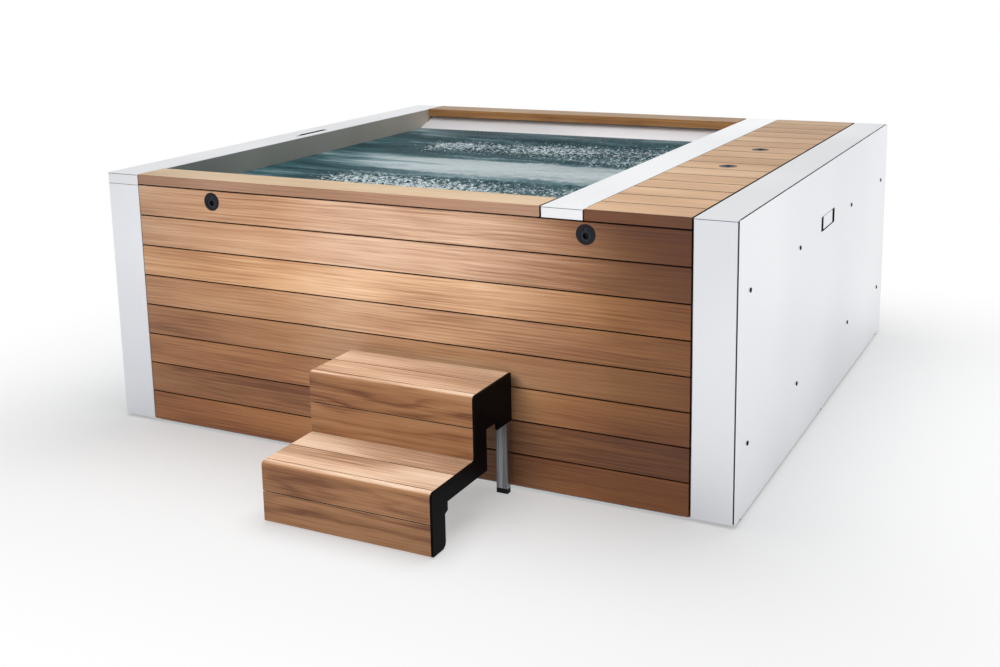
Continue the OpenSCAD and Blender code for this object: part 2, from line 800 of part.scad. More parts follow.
// A countersunk screw, with its head's face at the origin and its shank along -Z
module panel_screw(grow) {
    mirror([0, 0, 1]) {
        cylinder(r1 = screw_r + grow, r2 = 2.5 + grow, h = sheet_t * 0.75);
        cylinder(r = 2.5 + grow, h = sheet_t + channel_t + 4);
    }
}

module left_side_panel()
    color("gainsboro") in_body() difference() {
        block(0, sheet_t, frame_y + joint_gap, body_d - frame_y - joint_gap, ground_gap, left_top);
        screw_places(0) panel_screw(0.05);
    }

module grip_outline(grow)
    translate([-grip_w / 2 - grow, -grip_h / 2 - grow])
        round_rect(grip_w + 2 * grow, grip_h + 2 * grow, 8 + grow);

// Turns a flat outline into the plane of the right side, reaching out to the face
module on_right_side(depth, length)
    translate([body_w - depth, mid_y, grip_z]) rotate([90, 0, 90]) linear_extrude(length) children();

module right_side_panel()
    color("gainsboro") in_body() difference() {
        intersection() {
            block(body_w - sheet_t, body_w, 0, body_d, ground_gap, body_h);
            along_y(0, body_d) translate([body_w - rim_w, ground_gap])
                round_rect(rim_w, body_h - ground_gap, sheet_t / 2);
            translate([body_w - rim_w, 0, 0]) linear_extrude(body_h) round_rect(rim_w, body_d, sheet_t / 2);
        }
        screw_places(body_w) panel_screw(0.05);
        on_right_side(sheet_t + over, sheet_t + 2 * over) grip_outline(0.3);
    }

module panel_screws()
    color("black") in_body() {
        screw_places(0) panel_screw(0);
        screw_places(body_w) panel_screw(0);
    }

// Side pull

flap_z = grip_z + grip_h / 2 - 5;
flap_x = body_w - 3.5;

module side_pull_housing()
    color("black") in_body() difference() {
        union() {
            on_right_side(grip_d, grip_d) grip_outline(0);
            on_right_side(sheet_t + 3, 3) grip_outline(7);
        }
        block(body_w - grip_d + 4, body_w + over, mid_y - grip_w / 2 + grip_end, mid_y + grip_w / 2 - grip_end,
            grip_z - grip_h / 2 + 1.5, grip_z + grip_h / 2 - 1);
        rod_y(flap_x, mid_y - grip_w / 2 + grip_end - 10, mid_y + grip_w / 2 - grip_end + 10, flap_z,
            flap_pin_r + turn_clear);
    }

module side_pull_flap()
    color("gainsboro") in_body() {
        y0 = mid_y - grip_w / 2 + grip_end;
        y1 = mid_y + grip_w / 2 - grip_end;
        block(flap_x, body_w - 0.5, y0 + 0.5, y1 - 0.5, grip_z - grip_h / 2 + 4.5, flap_z);
        rod_y(flap_x, y0 + 0.5, y1 - 0.5, flap_z, 3);
        rod_y(flap_x, y0 - 9, y1 + 9, flap_z, flap_pin_r);
    }

// Keypad

key_x0 = rim_w - key_in;
key_y0 = key_y - key_len / 2;

// The keypad's outline, with its front end narrowed to a tongue
module key_outline(grow) {
    tongue = key_len * 0.18;
    offset_w = key_w * 0.45;
    polygon([[key_x0 - grow + offset_w, key_y0 - grow], [key_x0 + key_w + grow, key_y0 - grow],
        [key_x0 + key_w + grow, key_y0 + key_len + grow], [key_x0 - grow, key_y0 + key_len + grow],
        [key_x0 - grow, key_y0 + tongue + 8], [key_x0 - grow + offset_w, key_y0 + tongue - 8]]);
}

// The space that the keypad needs in the rim
module key_space(grow)
    translate([0, 0, body_h - key_deep - grow]) linear_extrude(key_deep + over + grow) key_outline(grow);

module keypad_case()
    color("dimgray") in_body() difference() {
        union() {
            translate([0, 0, body_h - key_deep]) linear_extrude(key_deep) key_outline(0);
            translate([key_x0 - 8, key_y0 - 8, side_rail_top - 4]) cube([key_w + 12, key_len + 16, 4]);
        }
        translate([0, 0, body_h - 2]) linear_extrude(3) key_outline(-2);
    }

module keypad_glass()
    color("black") in_body() translate([0, 0, body_h - 2]) linear_extrude(1.9) key_outline(-2.2);

// Timber

// A board's section with round edges on its face, which is towards -Y or up
module board_section(w, t, r) {
    square([w, t - r]);
    translate([r, t - r]) square([w - 2 * r, r]);
    for (x = [r, w - r]) translate([x, t - r]) circle(r = r, $fn = 16);
}

// A plank that lies along X, with its face towards -Y
module plank(x0, x1, z0, h, t)
    along_x(x0, x1) translate([t, z0]) rotate(90) board_section(h, t, timber_r);

module planks()
    for (i = [0 : plank_count - 1])
        plank(plank_x0, plank_x1, ground_gap + i * plank_pitch, plank_pitch - plank_gap, plank_t);

module cap()
    along_x(plank_x0, strip_x0 - joint_gap) translate([0, cap_z]) board_section(rim_w, cap_t, timber_r);

module front_cap() color("burlywood") in_body() cap();

module back_cap() color("burlywood") in_body() translate([0, body_d, 0]) mirror([0, 1, 0]) cap();

module back_planks()
    color("peru") in_body() translate([0, body_d, 0]) mirror([0, 1, 0]) planks();

module battens(t)
    for (x = batten_xs) block(x - batten_w / 2, x + batten_w / 2, plank_t, plank_t + t, ground_gap, plank_top - 6);

module back_battens()
    color("saddlebrown") in_body() translate([0, body_d, 0]) mirror([0, 1, 0]) battens(batten_t + pack_t);

// Front panel

module front_planks()
    color("peru") in_body() difference() {
        planks();
        for (x = pull_xs) at_front_pull(x) pull_space();
    }

module front_battens()
    color("saddlebrown") in_body() {
        battens(batten_t);
        for (x = batten_xs) clip_stud(x);
    }

// A stud with a ball end, which pushes into a socket on the front rail
module clip_stud(x)
    translate([x, plank_t + batten_t, clip_z]) rotate([-90, 0, 0]) rotate_extrude($fn = 32)
        polygon(concat([[0, -1], [stud_r - 1, -1], [stud_r - 1, stud_len - stud_r - 2]],
            arc(0, stud_len - stud_r, stud_r, -30, 90)));

module clip_sockets()
    color("black") in_body() for (x = batten_xs) difference() {
        union() {
            rod_y(x, frame_y - pack_t, frame_y, clip_z, socket_r + 5);
            rod_y(x, frame_y - pack_t, frame_y + 16, clip_z, socket_r);
        }
        rod_y(x, frame_y - pack_t - over, frame_y + 16 + over, clip_z, stud_r + stud_play);
    }

// Ring pull, drawn with its face up at z = 0 and its pivot towards +Y

pivot_z = -ring_sink - ring_t / 2;
barrel_r = ring_t / 2 + 0.4;
pocket_z = ring_sink + ring_t + 1;

module pull_cup() difference() {
    union() {
        translate([0, 0, -bezel_t]) cylinder(r = pull_r, h = bezel_t, $fn = 64);
        translate([0, 0, -cup_h]) cylinder(r = cup_r, h = cup_h - 0.5, $fn = 64);
    }
    translate([0, -ring_drop, -pocket_z]) cylinder(r = ring_r + pocket_clear, h = pocket_z + over);
    translate([-neck_w / 2 - pocket_clear, 0, -pocket_z])
        cube([neck_w + 2 * pocket_clear, pivot_off + barrel_r + pocket_clear, pocket_z + over]);
    translate([0, -ring_drop, -cup_h + 1.5]) cylinder(r = finger_r + 1, h = cup_h + over);
    rod_x(-neck_w / 2 - 3.5, neck_w / 2 + 3.5, pivot_off, pivot_z, trunnion_r + turn_clear);
}

// The space that a pull needs in the timber
module pull_space() {
    translate([0, 0, -bezel_t - 0.1]) cylinder(r = pull_r + 0.3, h = bezel_t + 3, $fn = 64);
    translate([0, 0, -cup_h - 0.5]) cylinder(r = cup_r + 0.3, h = cup_h + over, $fn = 64);
}

// The ring: a round loop with a neck, a barrel and two trunnions
module pull_ring() {
    difference() {
        translate([0, 0, -ring_sink - ring_t]) union() {
            translate([0, -ring_drop, 0]) cylinder(r = ring_r, h = ring_t);
            translate([-neck_w / 2, 0, 0]) cube([neck_w, pivot_off, ring_t]);
        }
        translate([0, -ring_drop, -ring_sink - ring_t - over]) cylinder(r = finger_r, h = ring_t + 2 * over);
    }
    rod_x(-neck_w / 2, neck_w / 2, pivot_off, pivot_z, barrel_r);
    rod_x(-neck_w / 2 - 3, neck_w / 2 + 3, pivot_off, pivot_z, trunnion_r);
}

pull_xs = [plank_x0 + left_pull_x, plank_x1 - right_pull_x];

module at_front_pull(x) translate([x, 0, pull_z]) rotate([90, 0, 0]) children();

module front_pull_cups() color("black") in_body() for (x = pull_xs) at_front_pull(x) pull_cup();

module front_pull_ring_left() color("black") in_body() at_front_pull(pull_xs[0]) pull_ring();

module front_pull_ring_right() color("black") in_body() at_front_pull(pull_xs[1]) pull_ring();

// Deck lids, drawn for the front lid and mirrored for the rear one

lid_len = mid_y - slat_gap / 2;
slat_pitch = (lid_len + slat_gap) / slat_count;
lid_pull_y = lid_len + slat_gap - (pull_slat - 0.5) * slat_pitch - slat_gap / 2;
tray_top = body_h - slat_t;

module rear() translate([0, body_d, 0]) mirror([0, 1, 0]) children();

module at_lid_pull(y) translate([bay_x, y, body_h]) rotate([0, 0, 180]) children();

module lid_slats() difference() {
    union() {
        for (i = [0 : slat_count - 1])
            along_x(deck_x0, deck_x1) translate([i * slat_pitch, tray_top])
                board_section(slat_pitch - slat_gap, slat_t, timber_r);
        block(deck_x0, deck_x1, 0, slat_t, cap_z, tray_top + 1);
    }
    at_lid_pull(lid_pull_y) pull_space();
}

// The frame of bars under a lid's slats
module lid_tray() {
    y0 = frame_y + rail_w + 4;
    y1 = lid_len - 4;
    for (x = [deck_x0 + 2, deck_x1 - 2 - tray_bar]) block(x, x + tray_bar, y0, y1, cap_z, tray_top);
    for (y = [y0, (y0 + y1 - tray_bar) / 2, y1 - tray_bar])
        block(deck_x0 + 2, deck_x1 - 2, y, y + tray_bar, cap_z, tray_top);
}

module front_lid_slats() color("burlywood") in_body() lid_slats();
module front_lid_tray() color("silver") in_body() lid_tray();
module front_lid_cup() color("black") in_body() at_lid_pull(lid_pull_y) pull_cup();
module front_lid_ring() color("black") in_body() at_lid_pull(lid_pull_y) pull_ring();

module rear_lid_slats() color("burlywood") in_body() rear() lid_slats();
module rear_lid_tray() color("silver") in_body() rear() lid_tray();
module rear_lid_cup() color("black") in_body() at_lid_pull(body_d - lid_pull_y) pull_cup();
module rear_lid_ring() color("black") in_body() at_lid_pull(body_d - lid_pull_y) pull_ring();

// Pump

module pump_motor()
    color("steelblue") in_body() translate([bay_x, pump_y, pump_z]) difference() {
        union() {
            rod_y(0, 0, 14, 0, motor_r);
            rod_y(0, 0, motor_len - 50, 0, motor_r - 9);
            rod_y(0, motor_len - 52, motor_len, 0, motor_r - 4);
            for (i = [0 : fin_count - 1]) rotate([0, i * 360 / fin_count, 0])
                translate([-1.5, 0, motor_r - 12]) cube([3, motor_len - 50, 10]);
            for (y = [20, motor_len - 90])
                block(-motor_r * 0.8, motor_r * 0.8, y, y + 30, bay_z - pump_z, -motor_r * 0.6);
            block(-40, 40, 60, 150, motor_r * 0.7, motor_r + 22);
        }
        rod_y(0, -over, 44, 0, shaft_r + turn_clear);
    }

cavity_y0 = -62;
cavity_y1 = -18;

module pump_wet_end()
    color("black") in_body() translate([bay_x, pump_y, pump_z]) difference() {
        union() {
            rod_y(0, cavity_y0 - 14, 0, 0, volute_r);
            rod_y(0, inlet_y - pump_y, cavity_y0, 0, pipe_r + 9);
            translate([0, outlet_y - pump_y, 0]) cylinder(r = pipe_r + 9, h = outlet_z - pump_z);
        }
        rod_y(0, cavity_y0, cavity_y1, 0, impeller_r + 5);
        rod_y(0, inlet_y - pump_y - over, cavity_y0 + over, 0, pipe_r - pipe_wall);
        translate([0, outlet_y - pump_y, impeller_r]) cylinder(r = pipe_r - pipe_wall, h = outlet_z - pump_z);
        rod_y(0, cavity_y1 - over, over, 0, shaft_r + turn_clear);
    }

// One backward-curved vane between two arcs, from the hub to the rim
module vane() {
    r = impeller_r * 0.62;
    intersection() {
        circle(r = impeller_r - 1);
        translate([r, 0]) difference() {
            circle(r = r);
            circle(r = r - 3);
        }
        translate([0, -impeller_r]) square([impeller_r, impeller_r]);
    }
}

module pump_impeller()
    color("silver") in_body() translate([bay_x, pump_y, pump_z]) {
        rod_y(0, cavity_y0 + 8, 40, 0, shaft_r);
        rod_y(0, cavity_y0 + 8, cavity_y1 - 4, 0, shaft_r + 7);
        rod_y(0, cavity_y1 - 9, cavity_y1 - 4, 0, impeller_r);
        translate([0, cavity_y1 - 8, 0]) rotate([90, 0, 0]) linear_extrude(cavity_y1 - cavity_y0 - 14)
            for (i = [0 : vane_count - 1]) rotate(i * 360 / vane_count) vane();
    }

// Other equipment in the bay

module air_blower()
    color("black") in_body() translate([blower_x, blower_y, bay_z]) {
        rotate_extrude() polygon(concat([[0, 0], [blower_r, 0], [blower_r, 14], [blower_r - 10, 20],
            [blower_r - 10, blower_h - 60]], arc(0, blower_h - 60, blower_r - 10, 0, 90)));
        for (a = [0 : 30 : 330]) rotate([0, 0, a]) translate([blower_r - 12, -2, 30]) cube([6, 4, blower_h - 110]);
    }

module heater()
    color("silver") in_body() translate([bay_x, heater_y, heater_z]) {
        difference() {
            union() {
                rod_y(0, 0, heater_len, 0, heater_r);
                for (y = [0, heater_len - 24]) rod_y(0, y, y + 24, 0, heater_r + 10);
            }
            rod_y(0, -over, heater_len + over, 0, heater_r - 5);
        }
        for (y = [60, heater_len - 90]) difference() {
            block(-heater_r, heater_r, y, y + 30, bay_z - heater_z, 0);
            rod_y(0, y - over, y + 30 + over, 0, heater_r - 2);
        }
        difference() {
            block(-30, 30, heater_len * 0.28, heater_len * 0.62, heater_r * 0.6, heater_r + 40);
            rod_y(0, heater_len * 0.25, heater_len * 0.65, 0, heater_r - 2);
        }
    }

module control_box()
    color("lightgray") in_body() translate([box_x, box_y, bay_z]) {
        cube([box_w - 22, box_len, box_h]);
        translate([-2, -2, 14]) cube([14, box_len + 4, box_h - 12]);
        translate([box_w - 23, 20, 20]) cube([23, box_len - 40, box_h - 60]);
        for (i = [0 : 4]) translate([box_w / 2 - 10, box_len / 2 - 140 + i * 70, box_h - over]) {
            cylinder(r = 14, h = 7, $fn = 6);
            cylinder(r = 10, h = 18);
        }
    }

module filter_canister()
    color("dimgray") in_body() translate([bay_x, filter_y, bay_z]) {
        r = filter_r;
        h = filter_h;
        rotate_extrude($fn = 64) polygon(concat([[0, 0], [r * 0.8, 0], [r * 0.8, 14], [r * 0.92, 26],
            [r * 0.92, h - 70], [r, h - 66], [r, h - 34]], arc(r - 26, h - 34, 26, 0, 90),
            [[r * 0.3, h - 2], [r * 0.26, h + 12], [0, h + 14]]));
        for (a = [0 : 45 : 315]) rotate([0, 0, a + 22.5]) translate([r - 3, -5, h - 66]) cube([8, 10, 34]);
        difference() {
            union() {
                rod_y(0, -r - port_len, 0, filter_in_z - bay_z, pipe_r + 7);
                rod_y(0, 0, r + port_len, heater_z - bay_z, pipe_r + 7);
            }
            rod_y(0, -r - port_len - over, -r * 0.9, filter_in_z - bay_z, pipe_r - pipe_wall);
            rod_y(0, r * 0.9, r + port_len + over, heater_z - bay_z, pipe_r - pipe_wall);
        }
    }

// A quarter bend that leaves the origin along +Y and ends heading along +X
module bend(r) translate([bend_r, 0, 0]) rotate([0, 0, 90]) rotate_extrude(angle = 90)
    translate([bend_r, 0]) circle(r = r);

// Every run of pipe in the bay, with the open ends lengthened by e
module pipe_runs(r, e) {
    end_x = manifold_x + bend_r;
    up_y = heater_y + heater_len + 10;
    suction_run(r, e);
    // pump to filter
    translate([bay_x, outlet_y, outlet_z - e]) cylinder(r = r, h = filter_in_z - bend_r - outlet_z + e);
    translate([bay_x, outlet_y, filter_in_z - bend_r]) rotate([0, 0, 90]) rotate([90, 0, 0]) bend(r);
    rod_y(bay_x, outlet_y + bend_r, filter_y - filter_r - port_len + e, filter_in_z, r);
    // filter to heater
    rod_y(bay_x, filter_y + filter_r + port_len - e, heater_y + e, heater_z, r);
    // heater to the jets' manifold
    rod_y(bay_x, heater_y + heater_len - e, up_y, heater_z, r);
    translate([bay_x, up_y, heater_z]) mirror([1, 0, 0]) bend(r);
    rod_x(end_x, bay_x - bend_r, up_y + bend_r, heater_z, r);
    translate([manifold_x, up_y + bend_r, heater_z + bend_r]) mirror([0, 0, 1]) rotate([90, 0, 0]) bend(r);
    translate([manifold_x, up_y + bend_r, heater_z + bend_r])
        cylinder(r = r, h = manifold_z - heater_z - 2 * bend_r);
    translate([manifold_x, up_y + bend_r, manifold_z - bend_r]) rotate([0, 0, -90]) rotate([90, 0, 0]) bend(r);
    rod_y(manifold_x, pump_y, up_y, manifold_z, r);
}

// From the suction covers and the skimmer to the pump and the drain valve
module suction_run(r, e) {
    rod_y(suction_x, valve_y1 - e, suction_ys[1] + pipe_r + 10, line_z, r);
    for (y = suction_ys) rod_x(strip_x0 + tank_t + 12 - e, suction_x, y, line_z, r - branch_less);
    translate([suction_x, mid_y - 50, line_z]) cylinder(r = r - branch_less, h = skimmer_z0 - line_z + e);
    rod_x(suction_x, bay_x - bend_r, turn_y, line_z, r - branch_less);
    translate([bay_x, turn_y + bend_r, line_z]) mirror([0, 1, 0]) mirror([1, 0, 0]) bend(r - branch_less);
    rod_y(bay_x, turn_y + bend_r, inlet_y + e, line_z, r - branch_less);
}

module water_pipes()
    color("white") in_body() {
        $fn = 24;
        difference() {
            pipe_runs(pipe_r, 0);
            pipe_runs(pipe_r - pipe_wall, over);
        }
        translate([manifold_x, pump_y, manifold_z]) rotate([90, 0, 0]) cylinder(r = pipe_r + 4, h = 12);
        for (y = [pump_y + 60 : 110 : filter_y + 600])
            rod_x(manifold_x - pipe_r - 12, manifold_x - pipe_r + 1.5, y, manifold_z, 8);
    }

valve_y = (valve_y0 + valve_y1) / 2 + 30;
stem_top = line_z + 62;

module drain_valve()
    color("goldenrod") in_body() difference() {
        union() {
            rod_y(suction_x, valve_y0, valve_y1, line_z, pipe_r);
            for (y = [valve_y0 + 40, valve_y1 - 24]) translate([suction_x, y, line_z]) rotate([-90, 0, 0])
                cylinder(r = pipe_r + 8, h = 24, $fn = 6);
            translate([suction_x, valve_y, line_z]) sphere(r = 38);
            translate([suction_x, valve_y, line_z]) cylinder(r = 11, h = 50);
        }
        rod_y(suction_x, valve_y0 - over, valve_y1 + over, line_z, pipe_r - pipe_wall - 2);
        translate([suction_x, valve_y, line_z + 30]) cylinder(r = 5 + turn_clear, h = 30);
    }

// The valve's lever, shut at rest
module drain_handle()
    color("red") in_body() translate([suction_x, valve_y, 0]) {
        translate([0, 0, line_z + 34]) cylinder(r = 5, h = stem_top - line_z - 34);
        translate([0, 0, line_z + 51]) cylinder(r = 12, h = 5);
        translate([0, -8, line_z + 51]) cube([100, 16, 5]);
        translate([100, 0, line_z + 51]) cylinder(r = 8, h = 5);
    }

module cable_gland()
    color("black") in_body() translate([gland_x, gland_y, 0]) difference() {
        union() {
            translate([0, 0, bay_z]) cylinder(r = gland_r + 9, h = 9, $fn = 6);
            translate([0, 0, pan_z - 14]) cylinder(r = gland_r + 3, h = 38);
            translate([0, 0, pan_z - 8]) cylinder(r = gland_r + 8, h = 8, $fn = 6);
        }
        translate([0, 0, pan_z - 14 - over]) cylinder(r = gland_r, h = 38 + 2 * over);
    }

// Step

// A board that lies along the step between two heights, with its face towards -Y
module riser_board(y, z0, z1, nose) {
    top = nose > 0 ? arc(y + nose, z1 - nose, nose, 180, 90) : [[y, z1]];
    along_x(step_x, board_x1) polygon(concat([[y + board_t, z0], [y, z0]], top, [[y + board_t, z1]]));
}

// Two boards that share a tread
module tread_boards(y0, y1, z) {
    w = (y1 - y0 - board_gap) / 2;
    for (y = [y0, y0 + w + board_gap])
        along_x(step_x, board_x1) translate([y, z - board_t]) board_section(w, board_t, 1);
}

module step_planks() {
    half = (tread_low + 5) / 2;
    riser_half = (tread_high + tread_low) / 2;
    color("peru") in_body() {
        riser_board(step_y0, 5, half - board_gap / 2, 0);
        riser_board(step_y0, half + board_gap / 2, tread_low, nose_r);
        tread_boards(step_y0 + board_t + board_gap, riser_y + board_t / 3, tread_low);
        riser_board(riser_y, tread_low + board_gap / 3, riser_half - board_gap / 2, 0);
        riser_board(riser_y, riser_half + board_gap / 2, tread_high, nose_r);
        tread_boards(riser_y + board_t + board_gap, -step_gap, tread_high);
    }
}

// The outline of the black side plate, seen from the side
function plate_outline(y0, yr, y1, z0, z1, z2) = let (s = strip_w, n = nose_r, b = 18) concat(
    [[y0, z0]], arc(y0 + n, z1 - n, n, 180, 90), [[yr, z1]], arc(yr + n, z2 - n, n, 180, 90),
    [[y1, z2], [y1, z2 - 150], [y1 - 95, z2 - 150], [y1 - 95, z2 - 123], [yr + s, z2 - 123],
        [yr + s, z1 - 55], [y0 + s + 16, z1 - 55], [y0 + s + 16, z1 - 80], [y0 + s, z1 - 86]],
    arc(y0 + s - b, z0 + b, b, 0, -90));

module step_side_plates()
    color("black") in_body() {
        along_x(board_x1, step_x1) polygon(plate_outline(step_y0, riser_y, -step_gap, 5, tread_low, tread_high));
        along_x(step_x + 4, step_x + 4 + side_t) polygon(plate_outline(step_y0 + board_t, riser_y + board_t,
            -step_gap - 2, 5, tread_low - board_t, tread_high - board_t));
    }

// One side of the step's frame
module side_frame(x) {
    x1 = x + tube_w;
    z_low = tread_low - board_t;
    z_high = tread_high - board_t;
    block(x, x1, -step_gap - tube_d, -step_gap, step_foot_h, z_high);
    block(x, x1, riser_y + board_t, -step_gap, z_high - tube_d, z_high);
    block(x, x1, riser_y + board_t, riser_y + board_t + tube_d, z_low - tube_d, z_high);
    block(x, x1, step_y0 + board_t, riser_y + board_t + tube_d, z_low - tube_d, z_low);
    block(x, x1, step_y0 + board_t, step_y0 + strip_w + 6, step_foot_h, z_low);
}

// The hollow in a leg that takes the plug of a foot, or the plug itself
module leg_core(x, y0, y1, grow, h)
    block(x + 3 - grow, x + tube_w - 3 + grow, y0 + 3 - grow, y1 - 3 + grow, step_foot_h - over, step_foot_h + h);

legs = [for (x = [left_frame_x, right_frame_x]) for (y = [[-step_gap - tube_d, -step_gap],
    [step_y0 + board_t, step_y0 + strip_w + 6]]) [x, y[0], y[1]]];

module step_frame()
    color("silver") in_body() difference() {
        union() {
            for (x = [left_frame_x, right_frame_x]) side_frame(x);
            for (p = [[-step_gap - tube_d, tread_high], [riser_y + board_t, tread_high],
                    [riser_y + board_t, tread_low], [step_y0 + board_t, tread_low]])
                block(left_frame_x, right_frame_x + tube_w, p[0], p[0] + tube_d,
                    p[1] - board_t - tube_d, p[1] - board_t);
            block(left_frame_x, right_frame_x + tube_w, step_y0 + board_t, step_y0 + board_t + tube_d, 40, 40 + tube_d);
        }
        for (l = legs) leg_core(l[0], l[1], l[2], 0, 34);
    }

module step_feet()
    color("black") in_body() for (l = legs) {
        block(l[0], l[0] + tube_w, l[1], l[2], 0, step_foot_h);
        leg_core(l[0], l[1], l[2], -0.3, 24);
    }

levelling_feet();
base_frame();
base_pan();
frame_uprights();
top_frame();
tank();
bench();
tank_insulation();
left_rim();
mid_rim();
right_rim();
left_posts();
right_posts();
left_side_panel();
right_side_panel();
panel_screws();
front_cap();
back_cap();
back_planks();
back_battens();
clip_sockets();
keypad_case();
keypad_glass();
side_pull_housing();
side_pull_flap();
jet_bodies();
jet_faces();
suction_covers();
skimmer_body();
skimmer_weir();
underwater_light();
pump_motor();
pump_wet_end();
pump_impeller();
air_blower();
heater();
control_box();
filter_canister();
water_pipes();
drain_valve();
drain_handle();
cable_gland();
front_planks();
front_battens();
front_pull_cups();
front_pull_ring_left();
front_pull_ring_right();
front_lid_slats();
front_lid_tray();
front_lid_cup();
front_lid_ring();
rear_lid_slats();
rear_lid_tray();
rear_lid_cup();
rear_lid_ring();
step_planks();
step_side_plates();
step_frame();
step_feet();
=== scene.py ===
# %% [markdown]
# # A hot tub with timber sides and a step
# The construction model of the tub is already packed: every board, sheet and fitting is there as a
# solid. This lesson dresses it. It gives each solid the finish of the real material, and adds the
# pieces that only a picture needs, such as the moving water, the black strips of painted shade in
# the joints, the weld beads and the sockets in the screws. The imported model is loaded first, and
# its box is kept, because the dressed tub has to keep that size.

# %% Load the imported model
import json
import math

import bmesh
import bpy
from mathutils import Matrix, Vector, noise

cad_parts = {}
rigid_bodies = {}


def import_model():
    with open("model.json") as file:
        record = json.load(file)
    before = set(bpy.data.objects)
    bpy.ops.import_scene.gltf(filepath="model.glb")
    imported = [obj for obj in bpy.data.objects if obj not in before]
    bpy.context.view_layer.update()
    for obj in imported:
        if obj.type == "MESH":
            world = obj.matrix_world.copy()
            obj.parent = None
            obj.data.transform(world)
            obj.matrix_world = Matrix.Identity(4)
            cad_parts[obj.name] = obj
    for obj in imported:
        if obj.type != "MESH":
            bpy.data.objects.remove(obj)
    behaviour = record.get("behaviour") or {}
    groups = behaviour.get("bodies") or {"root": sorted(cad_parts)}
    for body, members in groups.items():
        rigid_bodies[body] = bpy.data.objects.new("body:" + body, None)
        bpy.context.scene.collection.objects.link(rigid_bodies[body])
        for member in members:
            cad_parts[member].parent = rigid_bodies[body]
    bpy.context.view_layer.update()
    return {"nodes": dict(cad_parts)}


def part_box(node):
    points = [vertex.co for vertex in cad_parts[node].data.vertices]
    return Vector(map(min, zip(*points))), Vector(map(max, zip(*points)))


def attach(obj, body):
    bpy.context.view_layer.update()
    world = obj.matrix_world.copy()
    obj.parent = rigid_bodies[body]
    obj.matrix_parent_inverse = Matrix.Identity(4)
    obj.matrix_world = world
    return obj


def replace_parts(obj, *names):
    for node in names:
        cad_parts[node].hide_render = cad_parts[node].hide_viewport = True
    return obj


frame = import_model()
solids = frame["nodes"]
MM = 0.001

# %% [markdown]
# ## Measures taken from the solids
# A piece that is added later finds its place from the boxes of the solids that
# carry it, so it follows when the model changes. Only a size that lies inside
# one solid, such as the joint between two boards, is written here again.

# %% Measures
cap_low, cap_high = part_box("front_cap")
plank_low, plank_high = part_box("front_planks")
strip_low, strip_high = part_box("mid_rim")
rim_low, rim_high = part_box("left_rim")
right_low, right_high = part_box("right_side_panel")
lid_low, lid_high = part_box("front_lid_slats")
rear_lid_low, rear_lid_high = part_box("rear_lid_slats")
step_low, step_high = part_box("step_planks")
body_front, body_back = rim_low.y, rim_high.y
top_z = rim_high.z
GAP = 4 * MM            # the joint beside every board, slat and rim
print("body", [round(v / MM) for v in (rim_low.x, body_front, top_z)], "mm")

# %% [markdown]
# ## Camera
# The photograph was taken from the right of the step, a little above the rim,
# with a normal lens. The upright edges stay almost parallel, so part of the
# downward look is made by shifting the lens instead of tilting the camera. A
# larger shift would bring them closer to parallel, but the tub would then
# leave the picture when it is looked at from other sides.

# %% Camera
CAMERA_PLACE = Vector((2.097, -4.1275, 1.615))
CAMERA_TURN = math.radians(-27.047)
CAMERA_DIP = math.radians(11.379)
CAMERA_ROLL = math.radians(-1.055)
LENS = 45.852
LENS_SHIFT = -0.12

ahead = Vector((math.sin(CAMERA_TURN) * math.cos(CAMERA_DIP),
                math.cos(CAMERA_TURN) * math.cos(CAMERA_DIP), -math.sin(CAMERA_DIP)))
level_right = Vector((math.cos(CAMERA_TURN), -math.sin(CAMERA_TURN), 0))
level_up = level_right.cross(ahead)
cam_right = math.cos(CAMERA_ROLL) * level_right + math.sin(CAMERA_ROLL) * level_up
cam_up = -math.sin(CAMERA_ROLL) * level_right + math.cos(CAMERA_ROLL) * level_up

camera = bpy.data.objects.new("camera", bpy.data.cameras.new("camera"))
bpy.context.scene.collection.objects.link(camera)
camera.matrix_world = Matrix.Translation(CAMERA_PLACE) @ Matrix(
    (cam_right, cam_up, -ahead)).transposed().to_4x4()
camera.data.lens = LENS
camera.data.shift_y = LENS_SHIFT
bpy.context.scene.camera = camera
print("camera at", [round(v, 2) for v in CAMERA_PLACE], "m with a lens of", round(LENS), "mm")

# %% [markdown]
# ## Colour and node helpers
# Colours are written as sRGB hex, the way a paint program shows them, and one
# function turns them into the linear values that the shader wants. A second
# small function adds a node, sets its properties and joins its inputs and its
# first output, so that a finish reads as a short list of steps. A Mix node is
# the odd one: it has sockets for every kind of value, and those for colours
# are its inputs 6 and 7 and its output 2, so these get names.

# %% Helpers for materials
A, B, MIXED = 6, 7, 2
BLEND = {"data_type": "RGBA"}
MULTIPLY = {"data_type": "RGBA", "blend_type": "MULTIPLY"}


def linear(code):
    """The linear colour of an sRGB hex code."""
    parts = [int(code[i:i + 2], 16) / 255 for i in (1, 3, 5)]
    return [c / 12.92 if c <= 0.04045 else ((c + 0.055) / 1.055) ** 2.4 for c in parts] + [1]


def add(tree, kind, inputs, stops=(), to=None, **settings):
    """Adds a node, sets it, fills or links its inputs, and joins its first output to a socket."""
    node = tree.nodes.new("ShaderNode" + kind)
    for name, value in settings.items():
        setattr(node, name, value)
    for socket, value in inputs.items():
        value = value.outputs[0] if isinstance(value, bpy.types.Node) else value
        if isinstance(value, bpy.types.NodeSocket):
            tree.links.new(value, node.inputs[socket])
        else:
            node.inputs[socket].default_value = value
    for number, (place, code) in enumerate(stops):
        bar = node.color_ramp.elements
        if number == 0:
            bar.remove(bar[1])
        mark = bar.new(place) if number else bar[0]
        mark.position, mark.color = place, linear(code)
    if to:
        tree.links.new(node.outputs[0], to)
    return node


